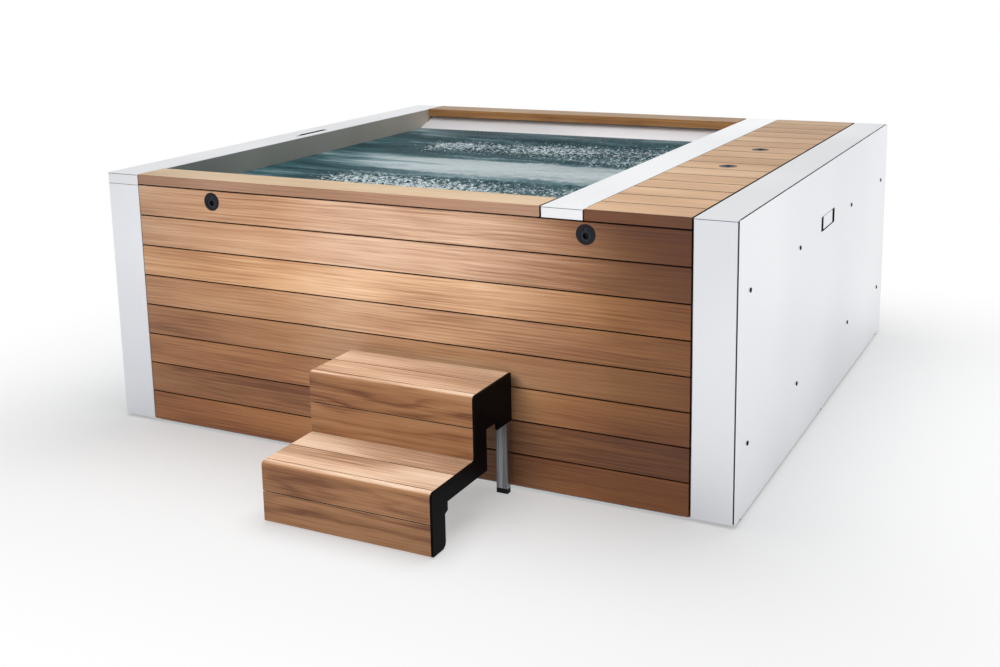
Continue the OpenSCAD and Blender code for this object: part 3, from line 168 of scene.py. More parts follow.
def finish(name, **sockets):
    """A material with its shader's sockets set, and the tree to build on."""
    material = bpy.data.materials.new(name)
    material.use_nodes = True
    shader = material.node_tree.nodes["Principled BSDF"]
    for socket, value in sockets.items():
        shader.inputs[socket.replace("_", " ")].default_value = value
    print("finish:", name)
    return material, material.node_tree, shader


# %% [markdown]
# ## Oiled, heat-treated timber
# The boards are softwood that was baked until it turned brown, and then oiled.
# Growth rings run round the log's axis, which lies along the board. A board
# that was sawn near the axis shows wide arches, and one from further out shows
# straight lines. Stripes could be laid over each face instead, but they would
# break at every edge. So the rings are drawn in space, round an axis, which
# keeps the grain true on the ends and on the rounded edges. The finish first
# has to know which board a point belongs to, and counts cuts to find out. A
# row of boards is written as its axis, its start, its pitch and its count.

# %% Parting one solid into its boards
AXIS_WEIGHTS = (1.0, 17.0)      # a second axis weighs more, so no two boards share a number


def joints(row):
    """The cuts between the boards of a row, each in the middle of its joint."""
    _, start, pitch, count = row
    return [start - GAP / 2 + pitch * i for i in range(1, count)]


def board_number(tree, place, cuts):
    """Counts the cuts that a point has passed. cuts maps an axis to places in metres."""
    axes = add(tree, "SeparateXYZ", {0: place})
    total = 0.0
    for weight, (axis, places) in zip(AXIS_WEIGHTS, cuts.items()):
        for cut in places:
            passed = add(tree, "Math", {0: axes.outputs[axis], 1: cut}, operation="GREATER_THAN")
            total = add(tree, "Math", {0: passed, 1: weight, 2: total}, operation="MULTIPLY_ADD")
    return total


# %% [markdown]
# Next, every board gets a log of its own. All boards of a row are moved onto
# the first one, and random numbers that belong to the board's number then
# shift the log along and across, as if each board came from another trunk.

# %% Each board in its log
FAR = 30.0              # a row wraps at its pitch, and the other axes only this far out
LOG_REACH = 9.0         # boards come from this far up or down their log


def in_the_log(tree, place, number, row, seed, face, spread):
    """A point's place from the log's axis, its place in the first board, and the board's luck."""
    row_axis, start, pitch, _ = row or ("", 0.0, 0.0, 0)
    low = [start if axis == row_axis else -FAR for axis in "XYZ"]
    high = [start + pitch if axis == row_axis else FAR for axis in "XYZ"]
    first = add(tree, "VectorMath", {0: place, 1: high, 2: low}, operation="WRAP")
    seeded = add(tree, "Math", {0: number, 1: seed}, operation="ADD")
    chance = add(tree, "TexWhiteNoise", {"W": seeded}, noise_dimensions="1D").outputs["Color"]
    reach = (LOG_REACH, *spread)
    moved = add(tree, "VectorMath", {0: chance, 1: [2 * r for r in reach],
                                     2: [-r - middle for r, middle in zip(reach, face)]},
                operation="MULTIPLY_ADD")
    log = add(tree, "VectorMath", {0: first, 1: moved}, operation="ADD")
    return log, first, add(tree, "SeparateColor", {0: chance})


# %% [markdown]
# The grain has four scales, and each is given by a real size: the growth ring,
# the bundle of fibres, the single fibre and the slow drift of colour along a
# board. The log's axis wanders too, which bends the rings into flames. Rings
# are 3 mm apart and fibres are 0.5 mm wide in the real wood. Both would vanish
# at this distance, so they are drawn more than three times as coarse.

# %% Grain
RING = 0.0115
WANDER_RINGS = 5.0      # how many rings the wander of the axis carries a point across
LATE_WOOD = ((0.0, "#9A9A9A"), (0.45, "#BCBCBC"), (0.88, "#4A4A4A"), (1.0, "#9A9A9A"))
# each noise's reach along and across the board in metres, its detail and its roughness
NOISES = {
    "wander": ((0.62, 0.11, 0.11), 3.0, 0.45),
    "bundles": ((0.60, 0.0065, 0.0065), 3.0, 0.6),
    "fibres": ((0.13, 0.0017, 0.0017), 2.0, 0.5),
    "drift": ((0.75, 0.2, 0.16), 2.0, 0.5),
}


def grain(tree, log):
    """The patterns of the grain by name, each from 0 to 1."""
    found = {}
    for name, (reach, detail, roughness) in NOISES.items():
        scaled = add(tree, "VectorMath", {0: log, 1: [1 / r for r in reach]}, operation="MULTIPLY")
        found[name] = add(tree, "TexNoise", {"Vector": scaled, "Scale": 1.0, "Detail": detail,
                                             "Roughness": roughness})
    across = add(tree, "VectorMath", {0: log, 1: (0, 1, 1)}, operation="MULTIPLY")
    radius = add(tree, "VectorMath", {0: across}, operation="LENGTH").outputs["Value"]
    turns = add(tree, "Math", {0: radius, 1: 1 / RING}, operation="MULTIPLY")
    turns = add(tree, "Math", {0: found["wander"], 1: WANDER_RINGS, 2: turns},
                operation="MULTIPLY_ADD")
    ring = add(tree, "Math", {0: turns}, operation="FRACT")
    found["rings"] = add(tree, "ValToRGB", {0: ring}, stops=LATE_WOOD)
    return found


# %% [markdown]
# The patterns are added to one tone, each by its share, and the tone picks the
# colour between a dark, a middle and a pale brown. Sun and feet bleach the
# faces that look up, which softens their growth rings too.

# %% Tone of the timber
MIDDLE = 0.5                    # a pattern at its middle changes no tone
BOARD_TONES = (0.42, 0.58)      # the darkest and the palest board
SOFTENING = 0.55                # how much of its rings a face that looks up loses
RINGS_AND_BUNDLES, FIBRES, DRIFT = 0.98, 0.55, 0.95


def board_tone(tree, found, luck, facing_up, rings, contrast):
    """The tone from 0, dark, to 1, pale. rings is the share of the growth rings."""
    late = found["rings"]
    softened = add(tree, "MapRange", {"Value": facing_up, "To Min": late, "To Max": MIDDLE})
    soft_rings = add(tree, "MapRange", {"Value": SOFTENING, "To Min": late, "To Max": softened})
    tone = add(tree, "MapRange", {"Value": luck.outputs[0], "To Min": BOARD_TONES[0],
                                  "To Max": BOARD_TONES[1]})
    for pattern, share in ((soft_rings, rings), (found["bundles"], RINGS_AND_BUNDLES - rings),
                           (found["fibres"], FIBRES), (found["drift"], DRIFT)):
        part = add(tree, "Math", {0: pattern, 1: MIDDLE}, operation="SUBTRACT")
        tone = add(tree, "Math", {0: part, 1: share * contrast, 2: tone}, operation="MULTIPLY_ADD")
    return tone


# %% [markdown]
# The light on the front is painted into its colour. A ramp of tints along the front paints a pale
# sheen over the middle, with less of it towards the ends, and the corner under the deck's nose gets
# a painted shade and stays dark. The ramp is given as tints, because noise would put it in the
# wrong places. The boards' edges get a painted shade too, except on the faces inside their joints.

# %% Painted light along the front, and painted shade at the edges
CORNER_SHADE_TINT = "#AA8E76"
CORNER_SHADE_EDGE, CORNER_SHADE_CORE = 0.40, 0.10     # how far the painted corner shade reaches, and its darkest part
CORNER_SHADE_STRETCH = (0.8, 1, 1.1)             # it reaches further along the boards than down
# the colour of the painted shade along the boards' edges
EDGE_SHADE_TINT = "#3A261A"


def painted_front_light(tree, colour, place, light_along_front):
    """Paints light along the front by a ramp of tints, and a painted shade into the corner under
    the deck's nose.
    """
    along = add(tree, "MapRange", {"Value": add(tree, "SeparateXYZ", {0: place}),
                                   "From Min": rim_low.x, "From Max": right_high.x})
    # painted light: a pale sheen over the middle of the front, darker towards both ends
    lit_tint = add(tree, "ValToRGB", {0: along}, stops=light_along_front)
    colour = add(tree, "Mix", {0: 1.0, A: colour, B: lit_tint}, **MULTIPLY).outputs[MIXED]
    # painted shade in the corner under the deck's nose
    corner = add(tree, "VectorMath", {0: place, 1: plank_high}, operation="SUBTRACT")
    corner = add(tree, "VectorMath", {0: corner, 1: CORNER_SHADE_STRETCH}, operation="MULTIPLY")
    away = add(tree, "VectorMath", {0: corner}, operation="LENGTH").outputs["Value"]
    corner_shade = add(tree, "MapRange", {"Value": away, "From Min": CORNER_SHADE_EDGE,
                                     "From Max": CORNER_SHADE_CORE}, interpolation_type="SMOOTHSTEP")
    shade = add(tree, "Mix", {0: corner_shade, A: linear("#FFFFFF"), B: linear(CORNER_SHADE_TINT)},
                **BLEND).outputs[MIXED]
    return add(tree, "Mix", {0: 1.0, A: colour, B: shade}, **MULTIPLY).outputs[MIXED]


def shaded_edges(tree, colour, first, facing, row, width):
    """Paints a shade along the edges of a row's boards, except on the faces inside their joints."""
    axis, start, pitch, _ = row
    half = (pitch - GAP) / 2
    along_row = add(tree, "SeparateXYZ", {0: first}).outputs[axis]
    offset = add(tree, "Math", {0: along_row, 1: start + half}, operation="SUBTRACT")
    offset = add(tree, "Math", {0: offset}, operation="ABSOLUTE")
    edge = add(tree, "MapRange", {"Value": offset, "From Min": half - width, "From Max": half})
    turned = add(tree, "Math", {0: facing.outputs[axis]}, operation="ABSOLUTE")
    open_face = add(tree, "Math", {0: 1.0, 1: turned}, operation="SUBTRACT")
    edge = add(tree, "Math", {0: edge, 1: open_face}, operation="MULTIPLY")
    return add(tree, "Mix", {0: edge, A: colour, B: linear(EDGE_SHADE_TINT)}, **BLEND).outputs[MIXED]


# %% [markdown]
# With its steps in place, the finish itself is short. Each kind of timber on
# the tub calls it with its own browns. The point named face lies near the
# seen side of the first board, and the log's axis passes it within spread, so
# both together say whether a board shows arches or straight lines.

# %% The timber's finish
UP_FROM, UP_TO = 0.6, 0.98      # the normal's height, where a face starts to count as looking up, and where it fully does
GRAIN_DEPTH = 0.0005            # raised fibres, in metres
BUNDLE_RELIEF = 0.6             # how high a bundle stands beside a fibre


def oiled_timber(name, palette, seed, row=None, cuts=None, face=(0, 0, 0), spread=(0.07, 0.16),
                 tints=(), upright_shade="#FFFFFF", light_along_front=(), edge_shade=0.0, shine=0.5, contrast=1.0,
                 rings=0.28):
    """Timber with its grain along X, in boards that a row or a dictionary of cuts parts.

    tints gives each board its own. The upright tint is laid on the faces that don't look up, partly
    as a painted shade, a ramp of tints paints light along the front, and a width sets the painted
    shade along the boards' edges.
    """
    material, tree, shader = finish(name, Roughness=shine, IOR=1.5)
    place = add(tree, "TexCoord", {}).outputs["Object"]
    number = board_number(tree, place, cuts or ({row[0]: joints(row)} if row else {}))
    log, first, luck = in_the_log(tree, place, number, row, seed, face, spread)
    found = grain(tree, log)
    facing = add(tree, "SeparateXYZ", {0: add(tree, "NewGeometry", {}).outputs["Normal"]})
    facing_up = add(tree, "MapRange", {"Value": facing.outputs["Z"], "From Min": UP_FROM,
                                      "From Max": UP_TO})
    tone = board_tone(tree, found, luck, facing_up, rings, contrast)
    dark, middle, pale = palette
    colour = add(tree, "ValToRGB", {0: tone}, stops=((0.15, dark), (0.5, middle), (0.85, pale)))
    # the faces that don't look up get the upright tint: partly unbleached timber, partly a painted
    # shade
    shaded_upright = add(tree, "Mix", {0: 1.0, A: colour, B: linear(upright_shade)}, **MULTIPLY).outputs[MIXED]
    colour = add(tree, "Mix", {0: facing_up, A: shaded_upright, B: colour}, **BLEND).outputs[MIXED]
    # painted light and shade along the front
    if light_along_front:
        colour = painted_front_light(tree, colour, place, light_along_front)
    # painted shade along the boards' edges
    if edge_shade:
        colour = shaded_edges(tree, colour, first, facing, row, edge_shade)
    if tints:
        share = add(tree, "Math", {0: number, 1: 0.5}, operation="ADD")
        share = add(tree, "Math", {0: share, 1: 1 / len(tints)}, operation="MULTIPLY")
        tint = add(tree, "ValToRGB", {0: share},
                   stops=[(i / len(tints), code) for i, code in enumerate(tints)])
        tint.color_ramp.interpolation = "CONSTANT"
        colour = add(tree, "Mix", {0: 1.0, A: colour, B: tint}, **MULTIPLY).outputs[MIXED]
    tree.links.new(colour, shader.inputs["Base Color"])
    relief = add(tree, "Math", {0: found["bundles"], 1: BUNDLE_RELIEF, 2: found["fibres"]},
                 operation="MULTIPLY_ADD")
    add(tree, "Bump", {"Height": relief, "Distance": GRAIN_DEPTH, "Strength": 0.5},
        to=shader.inputs["Normal"])
    return material


# %% [markdown]
# ## Which board gets which timber
# The front boards keep the tints of the real ones, from the bottom board to the
# top one: the lower ones are yellower and darker, and the upper ones paler. A
# random tint would do for a row of unknown boards, but these can be seen.

# %% Timber of the front and back
PLANKS = 8
# painted light along the front: a pale sheen in the middle, darker ends
FRONT_LIGHT_RAMP = ((0.0, "#EADBC6"), (0.16, "#ECDABF"), (0.32, "#F0DEC4"), (0.44, "#FFFCF2"),
       (0.64, "#FFFCF0"), (0.775, "#D0BA9E"), (0.845, "#B4996F"), (1.0, "#9A7244"))
PLANK_TINTS = ("#C6A783", "#C3AD94", "#D6C0A6", "#CFBEAC", "#E9DFD4", "#FDF6EB", "#ECE7E7",
               "#EFEEF1")
plank_pitch = (plank_high.z - plank_low.z + GAP) / PLANKS
plank_row = ("Z", plank_low.z, plank_pitch, PLANKS)
plank_middle = plank_low.z + 0.05
panel_timber = oiled_timber("oiled_heat_treated_pine_front", ("#8E654D", "#CAA890", "#E6CDBA"),
                            3.0, plank_row, face=(0, plank_low.y - 0.03, plank_middle),
                            spread=(0.05, 0.14), tints=PLANK_TINTS, light_along_front=FRONT_LIGHT_RAMP, edge_shade=0.0012)
back_timber = oiled_timber("oiled_heat_treated_pine_back", ("#7A553C", "#AE8160", "#CCA384"),
                           61.0, plank_row, face=(0, body_back + 0.05, plank_middle))
print("front boards", round(plank_pitch / MM, 1), "mm apart")

# %% [markdown]
# The tops of the deck and the caps are paler than their upright faces: partly because they are
# walked on and washed, and partly because the upright faces get a painted shade, darkest on the
# sides of the deck's slats. A cap is one board that was sawn near the axis, so it shows arches, and
# the deck's slats come from further out. One finish could serve both lids, but the rear one would
# then repeat the front one's grain.

# %% Timber of the caps and the deck
SLATS = 8
cap_timber = oiled_timber("oiled_heat_treated_pine_front_cap", ("#B5946E", "#D6B893", "#E4CBA8"),
                          11.0, face=(0, cap_low.y, cap_high.z), spread=(0.03, 0.03),
                          upright_shade="#B29FA2")
back_cap_timber = oiled_timber("oiled_heat_treated_pine_back_cap",
                               ("#846240", "#B0906C", "#C8AA84"), 23.0,
                               face=(0, body_back, cap_high.z), spread=(0.03, 0.03),
                               upright_shade="#DCC4A4")
slat_pitch = (lid_high.y - lid_low.y + GAP) / SLATS
lid_row, rear_lid_row = [("Y", low.y, slat_pitch, SLATS) for low in (lid_low, rear_lid_low)]
deck_timber, rear_deck_timber = [
    oiled_timber(name, ("#B48A60", "#DAAE84", "#ECCDA2"), seed, row,
                 face=(0, row[1] + 0.06, lid_high.z), spread=(0.12, 0.05), upright_shade="#6E5342",
                 edge_shade=0.005)
    for name, seed, row in (("oiled_heat_treated_pine_deck", 31.0, lid_row),
                            ("oiled_heat_treated_pine_rear_deck", 47.0, rear_lid_row))]
print("slats", round(slat_pitch / MM, 1), "mm apart")

# %% [markdown]
# The step's boards lie in two directions, treads and risers, so the cuts run
# both up and back. Together they part the step into its eight boards. Feet
# have worn them dull, which brings out the growth rings.

# %% Timber of the step
LOWER_TREAD, UPPER_TREAD = 190.0, 385.0     # heights of the treads' tops, in mm
RISER_JOINTS = ((97.5, 0.0), (287.5, 255.0))    # height, and how far back the riser stands
TREAD_JOINTS = ((23.5, LOWER_TREAD), (143.7, LOWER_TREAD),      # how far back, and how high
                (278.5, UPPER_TREAD), (385.5, UPPER_TREAD))
riser_cuts = [height for height, _ in RISER_JOINTS] + [LOWER_TREAD + 0.3]
step_cuts = {"Z": [height * MM for height in riser_cuts],
             "Y": [step_low.y + back * MM for back, _ in TREAD_JOINTS]}
step_timber = oiled_timber("oiled_heat_treated_pine_step", ("#8E664A", "#D6B598", "#F0D8C4"),
                           71.0, cuts=step_cuts, face=(0, -0.55, 0.2), spread=(0.06, 0.06),
                           upright_shade="#A88C70", contrast=1.25, rings=0.5, shine=0.62)
batten_timber = oiled_timber("rough_sawn_batten", ("#4A2F1B", "#6B4629", "#85603F"), 83.0,
                             shine=0.7)

# %% [markdown]
# ## Brushed stainless steel
# The rims, posts and panels are folded from ground stainless sheet. Grinding
# leaves scratches that all run one way, which roughen the reflection in faint
# streaks. An anisotropic shader would smear the reflection as well, but that
# needs tangents on every sheet, and from here the streaks alone tell the eye.
# A metal shows mostly what is around it, so its own colour stays a plain pale
# grey with a slow cloudiness, as rolled sheet has.

# %% Stainless steel
SCRATCH = 0.0016        # spacing of the brush marks, drawn coarser than the real 0.2 mm
LONG = 0.35             # length of a brush mark
SCRATCH_DEPTH = 0.00004
SHEEN_SWING = 0.06      # how much rougher or smoother a mark is than the sheet


def brushed_steel(name, pale, cloudy, marks_run, roughness=0.36, cloud=0.9, metallic=1.0,
                  share=0.15, side_wall_shade=()):
    """Ground steel. marks_run is the length of the marks on each axis, share their strength."""
    material, tree, shader = finish(name, Metallic=metallic, Roughness=roughness)
    place = add(tree, "TexCoord", {}).outputs["Object"]
    run = add(tree, "VectorMath", {0: place, 1: [1 / length for length in marks_run]},
              operation="MULTIPLY")
    marks = add(tree, "TexNoise", {"Vector": run, "Scale": 1.0, "Detail": 5.0, "Roughness": 0.7})
    clouds = add(tree, "TexNoise", {"Vector": place, "Scale": 1 / cloud, "Detail": 2.0,
                                    "Roughness": 0.45})
    mixed = add(tree, "MapRange", {"Value": share, "To Min": clouds, "To Max": marks})
    colour = add(tree, "ValToRGB", {0: mixed}, stops=((0.36, cloudy), (0.64, pale))).outputs[0]
    # painted shade on the walls that look left or right, darker towards the front
    if side_wall_shade:
        normal = add(tree, "NewGeometry", {}).outputs["Normal"]
        facing = add(tree, "SeparateXYZ", {0: normal}).outputs["X"]
        facing = add(tree, "Math", {0: facing}, operation="ABSOLUTE")
        back = add(tree, "MapRange", {"Value": add(tree, "SeparateXYZ", {0: place}).outputs["Y"],
                                      "From Min": body_front, "From Max": body_back})
        shaded_wall = add(tree, "ValToRGB", {0: back}, stops=side_wall_shade)
        shaded_wall = add(tree, "Mix", {0: 1.0, A: colour, B: shaded_wall}, **MULTIPLY).outputs[MIXED]
        colour = add(tree, "Mix", {0: facing, A: colour, B: shaded_wall}, **BLEND).outputs[MIXED]
    tree.links.new(colour, shader.inputs["Base Color"])
    add(tree, "MapRange", {"Value": marks, "To Min": roughness - SHEEN_SWING,
                           "To Max": roughness + SHEEN_SWING}, to=shader.inputs["Roughness"])
    add(tree, "Bump", {"Height": marks, "Distance": SCRATCH_DEPTH, "Strength": 0.3},
        to=shader.inputs["Normal"])
    return material


# %% [markdown]
# The sheets differ in how bright they were ground and in which way the marks run: along the rims
# and panels, and up the posts. The tank is satin-finished and dulled by the water, so it is far
# less metallic, and its end walls get a painted shade, darker towards the front, from a ramp of
# tints. The step's legs are bright square tube, and the long dark and pale streaks in their colour
# are a painted reflection of the room.

# %% Steel of each sheet
rim_steel = brushed_steel("ground_steel_rim", "#E6E7EA", "#D8DADD", (SCRATCH, LONG, SCRATCH))
bright_rim_steel = brushed_steel("ground_steel_strip", "#F4F5F7", "#E8EAED",
                                 (SCRATCH, LONG, SCRATCH))
post_steel = brushed_steel("ground_steel_post", "#E8EAEE", "#DADCE1", (SCRATCH, SCRATCH, LONG))
panel_steel = brushed_steel("ground_steel_panel", "#EEF0F3", "#E0E2E6", (SCRATCH, LONG, SCRATCH),
                            cloud=1.3)
# the tank's end walls get a painted shade, darker towards the front
tank_steel = brushed_steel("satin_steel_tank", "#EEECEF", "#DAD8DA", (LONG, LONG, SCRATCH),
                           roughness=0.6, cloud=0.5, metallic=0.35,
                           side_wall_shade=((0.1, "#787F7A"), (0.55, "#9C9D94"), (0.95, "#D6D0C2")))
# painted reflection: the legs' colour is streaked dark and pale up their length, as the bright tube
# mirrors the room
leg_steel_painted_reflection = brushed_steel("ground_steel_leg_painted_reflection", "#B9BBBF", "#46484C", (0.011, 0.011, 0.9),
                          roughness=0.3, share=0.9)

# %% [markdown]
# ## Galvanised steel
# The hidden frame is dipped in zinc, which cools into crystal patches the size
# of a thumbnail. Voronoi cells have the same straight-edged shapes, so they
# set the grey, and the metal stays dull because zinc weathers quickly.

# %% Galvanised frame
SPANGLE = 0.012
frame_zinc, zinc_tree, zinc_shader = finish("galvanised_frame", Metallic=0.75, Roughness=0.55)
zinc_place = add(zinc_tree, "TexCoord", {}).outputs["Object"]
spangles = add(zinc_tree, "TexVoronoi", {"Vector": zinc_place, "Scale": 1 / SPANGLE})
add(zinc_tree, "ValToRGB", {0: spangles.outputs["Color"]},
    stops=((0.2, "#83888D"), (0.8, "#A7ACB1")), to=zinc_shader.inputs["Base Color"])

# %% [markdown]
# ## Coats and paints
# The step's side plates, the pulls and the screws are coated black, and the
# pump's motor and the drain's lever are painted. All have the same build: a
# fine orange-peel relief, and patches that have worn a little paler. The black
# ones drink the light of the white room, so their IOR starts from a paint's
# 1.5 and is matched down until they look as black as the real ones.

# %% Coats
PATCH = 0.07            # size of the worn patches
PEEL_DEPTH = 0.00008


def skin(name, colour, worn, roughness, grit=0.0012, metallic=0.0, specular=0.5, bend=1.5):
    """A coat or a moulded skin. grit is the relief's grain in metres, bend the IOR."""
    material, tree, shader = finish(name, Metallic=metallic, Roughness=roughness,
                                    Specular_IOR_Level=specular, IOR=bend)
    place = add(tree, "TexCoord", {}).outputs["Object"]
    peel = add(tree, "TexNoise", {"Vector": place, "Scale": 1 / grit, "Detail": 2.0})
    patches = add(tree, "TexNoise", {"Vector": place, "Scale": 1 / PATCH, "Detail": 3.0})
    add(tree, "ValToRGB", {0: patches}, stops=((0.35, colour), (0.75, worn)),
        to=shader.inputs["Base Color"])
    add(tree, "Bump", {"Height": peel, "Distance": PEEL_DEPTH, "Strength": 0.4},
        to=shader.inputs["Normal"])
    return material


black_coat = skin("black_powder_coat", "#060608", "#0B0B0E", 0.34, specular=0.08, bend=1.25)
bezel_metal = skin("dark_cast_bezel", "#101115", "#1A1B20", 0.42, metallic=0.1, specular=0.2)
ring_metal = skin("dark_cast_ring", "#1C1E23", "#2B2D33", 0.42, metallic=0.3, specular=0.25)
pull_coat = skin("black_cast_pull", "#040405", "#08080A", 0.5, specular=0.03, bend=1.15)
screw_coat = skin("black_zinc_screw", "#060607", "#0B0B0D", 0.6, specular=0.08)
pump_paint = skin("blue_enamel_motor", "#2B4565", "#33507A", 0.35)
red_dip = skin("red_dipped_lever", "#A5201A", "#B52B22", 0.35)

# %% [markdown]
# ## Plastics, rubber, foam, brass and glass
# Most of these sit in the bay under the deck and are seen only when a lid is
# up. Each gets its own colour and sheen, with a fine moulded relief. Rubber
# and foam are coarser than plastic, and fittings of brass and steel are metal
# all through. The keypad's glass is blackened from behind and hardly shines.

# %% Small finishes
black_plastic = skin("moulded_black_plastic", "#17181A", "#202123", 0.5)
grey_plastic = skin("moulded_grey_plastic", "#5A5D62", "#686B70", 0.45)
white_plastic = skin("moulded_white_plastic", "#DADBDB", "#E6E7E6", 0.3)
rubber = skin("moulded_black_rubber", "#101010", "#1A1A1A", 0.75, 0.002, specular=0.25)
# black strips of this finish stand for the shade deep in the joints: a painted shade
shade_strip_black = skin("painted_joint_shade", "#050404", "#0A0808", 0.8, 0.002, specular=0.1)
foam = skin("closed_cell_foam", "#BDAE7E", "#CFC193", 0.85, 0.004)
brass = skin("turned_brass", "#B08D4A", "#C7A560", 0.3, metallic=1.0)
jet_steel = skin("polished_steel_fitting", "#C8CACE", "#DADCE0", 0.16, metallic=1.0)
touch_glass = skin("black_touch_glass", "#0C0D10", "#121317", 0.5, 0.003, specular=0.02, bend=1.1)
lens_glass = finish("frosted_lens", Base_Color=linear("#DCE6EA"), Roughness=0.3,
                    Transmission_Weight=0.6, IOR=1.49)[0]

# %% [markdown]
# ## Dress the solids
# Every solid whose form is already right keeps it and only gets its finish.
# The list is checked against the model, so that no solid is left plain.

# %% Finishes on the solids
dressing = {
    panel_timber: ["front_planks"],
    back_timber: ["back_planks"],
    cap_timber: ["front_cap"],
    back_cap_timber: ["back_cap"],
    deck_timber: ["front_lid_slats"],
    rear_deck_timber: ["rear_lid_slats"],
    step_timber: ["step_planks"],
    batten_timber: ["front_battens", "back_battens"],
    rim_steel: ["left_rim", "right_rim"],
    bright_rim_steel: ["mid_rim"],
    post_steel: ["left_posts", "right_posts"],
    panel_steel: ["left_side_panel", "right_side_panel", "side_pull_flap"],
    tank_steel: ["tank", "bench"],
    leg_steel_painted_reflection: ["step_frame"],
    frame_zinc: ["base_frame", "base_pan", "frame_uprights", "top_frame", "front_lid_tray",
                 "rear_lid_tray"],
    black_coat: ["step_side_plates"],
    pull_coat: ["side_pull_housing"],
    bezel_metal: ["front_pull_cups", "front_lid_cup", "rear_lid_cup"],
    ring_metal: ["front_pull_ring_left", "front_pull_ring_right", "front_lid_ring",
                 "rear_lid_ring"],
    screw_coat: ["panel_screws"],
    pump_paint: ["pump_motor"],
    red_dip: ["drain_handle"],
    black_plastic: ["pump_wet_end", "air_blower", "cable_gland", "clip_sockets"],
    grey_plastic: ["keypad_case", "jet_bodies", "control_box", "filter_canister"],
    white_plastic: ["skimmer_body", "skimmer_weir", "water_pipes"],
    rubber: ["levelling_feet", "step_feet"],
    foam: ["tank_insulation"],
    brass: ["drain_valve"],
    jet_steel: ["jet_faces", "suction_covers", "heater", "pump_impeller"],
    touch_glass: ["keypad_glass"],
    lens_glass: ["underwater_light"],
}
for material, names in dressing.items():
    for name in names:
        if not solids[name].material_slots:
            solids[name].data.materials.append(material)
        for one in solids[name].material_slots:
            one.material = material
dressed = {name for names in dressing.values() for name in names}
print("solids left plain:", sorted(set(solids) - dressed))

# %% [markdown]
# ## Helpers for new pieces
# A new piece is shaped in a bmesh. When the shape is done, the first helper turns its faces
# outwards, makes it an object at the origin, gives it its finish and says which body carries it.
# The second one adds a bar to a bmesh: a cube is stretched between two corners, and its long edges
# are bevelled, because a real edge is never quite sharp and a round one catches the light.

# %% New pieces
def piece(name, form, material, body, smooth=False):
    """Makes a piece of a bmesh, and says what carries it and which slot finishes it."""
    bmesh.ops.recalc_face_normals(form, faces=form.faces)
    mesh = bpy.data.meshes.new(name)
    form.to_mesh(mesh)
    form.free()
    if smooth:
        mesh.shade_smooth()
    mesh.materials.append(material)
    thing = bpy.data.objects.new(name, mesh)
    bpy.context.scene.collection.objects.link(thing)
    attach(thing, body)
    print("piece:", name, "with", len(mesh.polygons), "faces on", body)
    return thing


def strip(form, low, high, nose=0.0008):
    """Adds a bar between two corners, with its long edges rounded."""
    bar = bmesh.ops.create_cube(form, size=1.0)["verts"]
    size = [b - a for a, b in zip(low, high)]
    bmesh.ops.scale(form, vec=size, verts=bar)
    bmesh.ops.translate(form, vec=[(a + b) / 2 for a, b in zip(low, high)], verts=bar)
    longest = size.index(max(size))
    edges = [e for e in {e for v in bar for e in v.link_edges}
             if abs((e.verts[0].co - e.verts[1].co)[longest]) > 0.9 * size[longest]]
    bmesh.ops.bevel(form, geom=edges, offset=nose, offset_type="OFFSET", affect="EDGES",
                    segments=2, profile=0.5, material=-1, clamp_overlap=True)


# %% [markdown]
# ## Painted shade in the joints
# The joints of the real tub look like inked lines, because they are narrow and deep and lie in
# shade. That shade is painted with black strips: a dark line in the timber's finish would look the
# same from the front, but not from the side or when the panel moves. So each strip is a bar that
# lies a few millimetres below the faces and fills the joint from side to side. The first ones ride
# on the front panel.

# %% Painted shade between the front boards
HALF_SHADE_STRIP = 1.9 * MM        # half the width of a shade strip between two boards
SHADE_STRIP_END = 2 * MM           # a strip stops this far short of the boards' ends


def board_shade_strip(form, low_x, high_x, low, high):
    """A black strip of painted shade along X, from one end of the boards to the other, between two
    places (y, z).
    """
    strip(form, (low_x + SHADE_STRIP_END, *low), (high_x - SHADE_STRIP_END, *high))


front_shade_strips = bmesh.new()
for cut in joints(plank_row):
    board_shade_strip(front_shade_strips, plank_low.x, plank_high.x, (plank_low.y + 3 * MM, cut - HALF_SHADE_STRIP),
               (plank_low.y + 21 * MM, cut + HALF_SHADE_STRIP))
# the last one lies on the top board, under the cap and the deck
board_shade_strip(front_shade_strips, plank_low.x, plank_high.x,
           (plank_low.y + 6 * MM, plank_high.z + 0.1 * MM),
           (plank_low.y + 20 * MM, plank_high.z + 2.6 * MM))
piece("front_board_shade_strips", front_shade_strips, shade_strip_black, "front_panel")

# %% [markdown]
# The tub's own joints are all 4 mm wide and run up the front and back along
# the top. Those that are seen from above stop just under the steel, so that no
# light falls beside them.

# %% Painted shade round the frame of the tub
SIDE = 0.2 * MM             # what a strip leaves free on either side
inner_y = body_front + 40 * MM
tub_shade_strips = bmesh.new()


def joint_shade_strip(x, low, high):
    """A black strip of painted shade in the joint that starts at x, between two places (y, z)."""
    strip(tub_shade_strips, (x + SIDE, *low), (x + GAP - SIDE, *high))


# beside the cap, the middle strip and the deck, seen from the front
for x, foot in ((rim_high.x, cap_low.z), (cap_high.x, cap_low.z),
                (strip_high.x, strip_low.z), (lid_high.x, strip_low.z)):
    joint_shade_strip(x, (body_front + 5 * MM, foot + 1 * MM), (inner_y, top_z - 4 * MM))
# at both ends of the front panel
for x in (rim_high.x, plank_high.x):
    joint_shade_strip(x, (body_front + 6 * MM, plank_low.z), (inner_y, plank_high.z))
# on both sides of the deck, seen from above
for x in (strip_high.x, lid_high.x):
    joint_shade_strip(x, (body_front + 41 * MM, top_z - 12 * MM), (body_back - 5 * MM, top_z - 0.4 * MM))
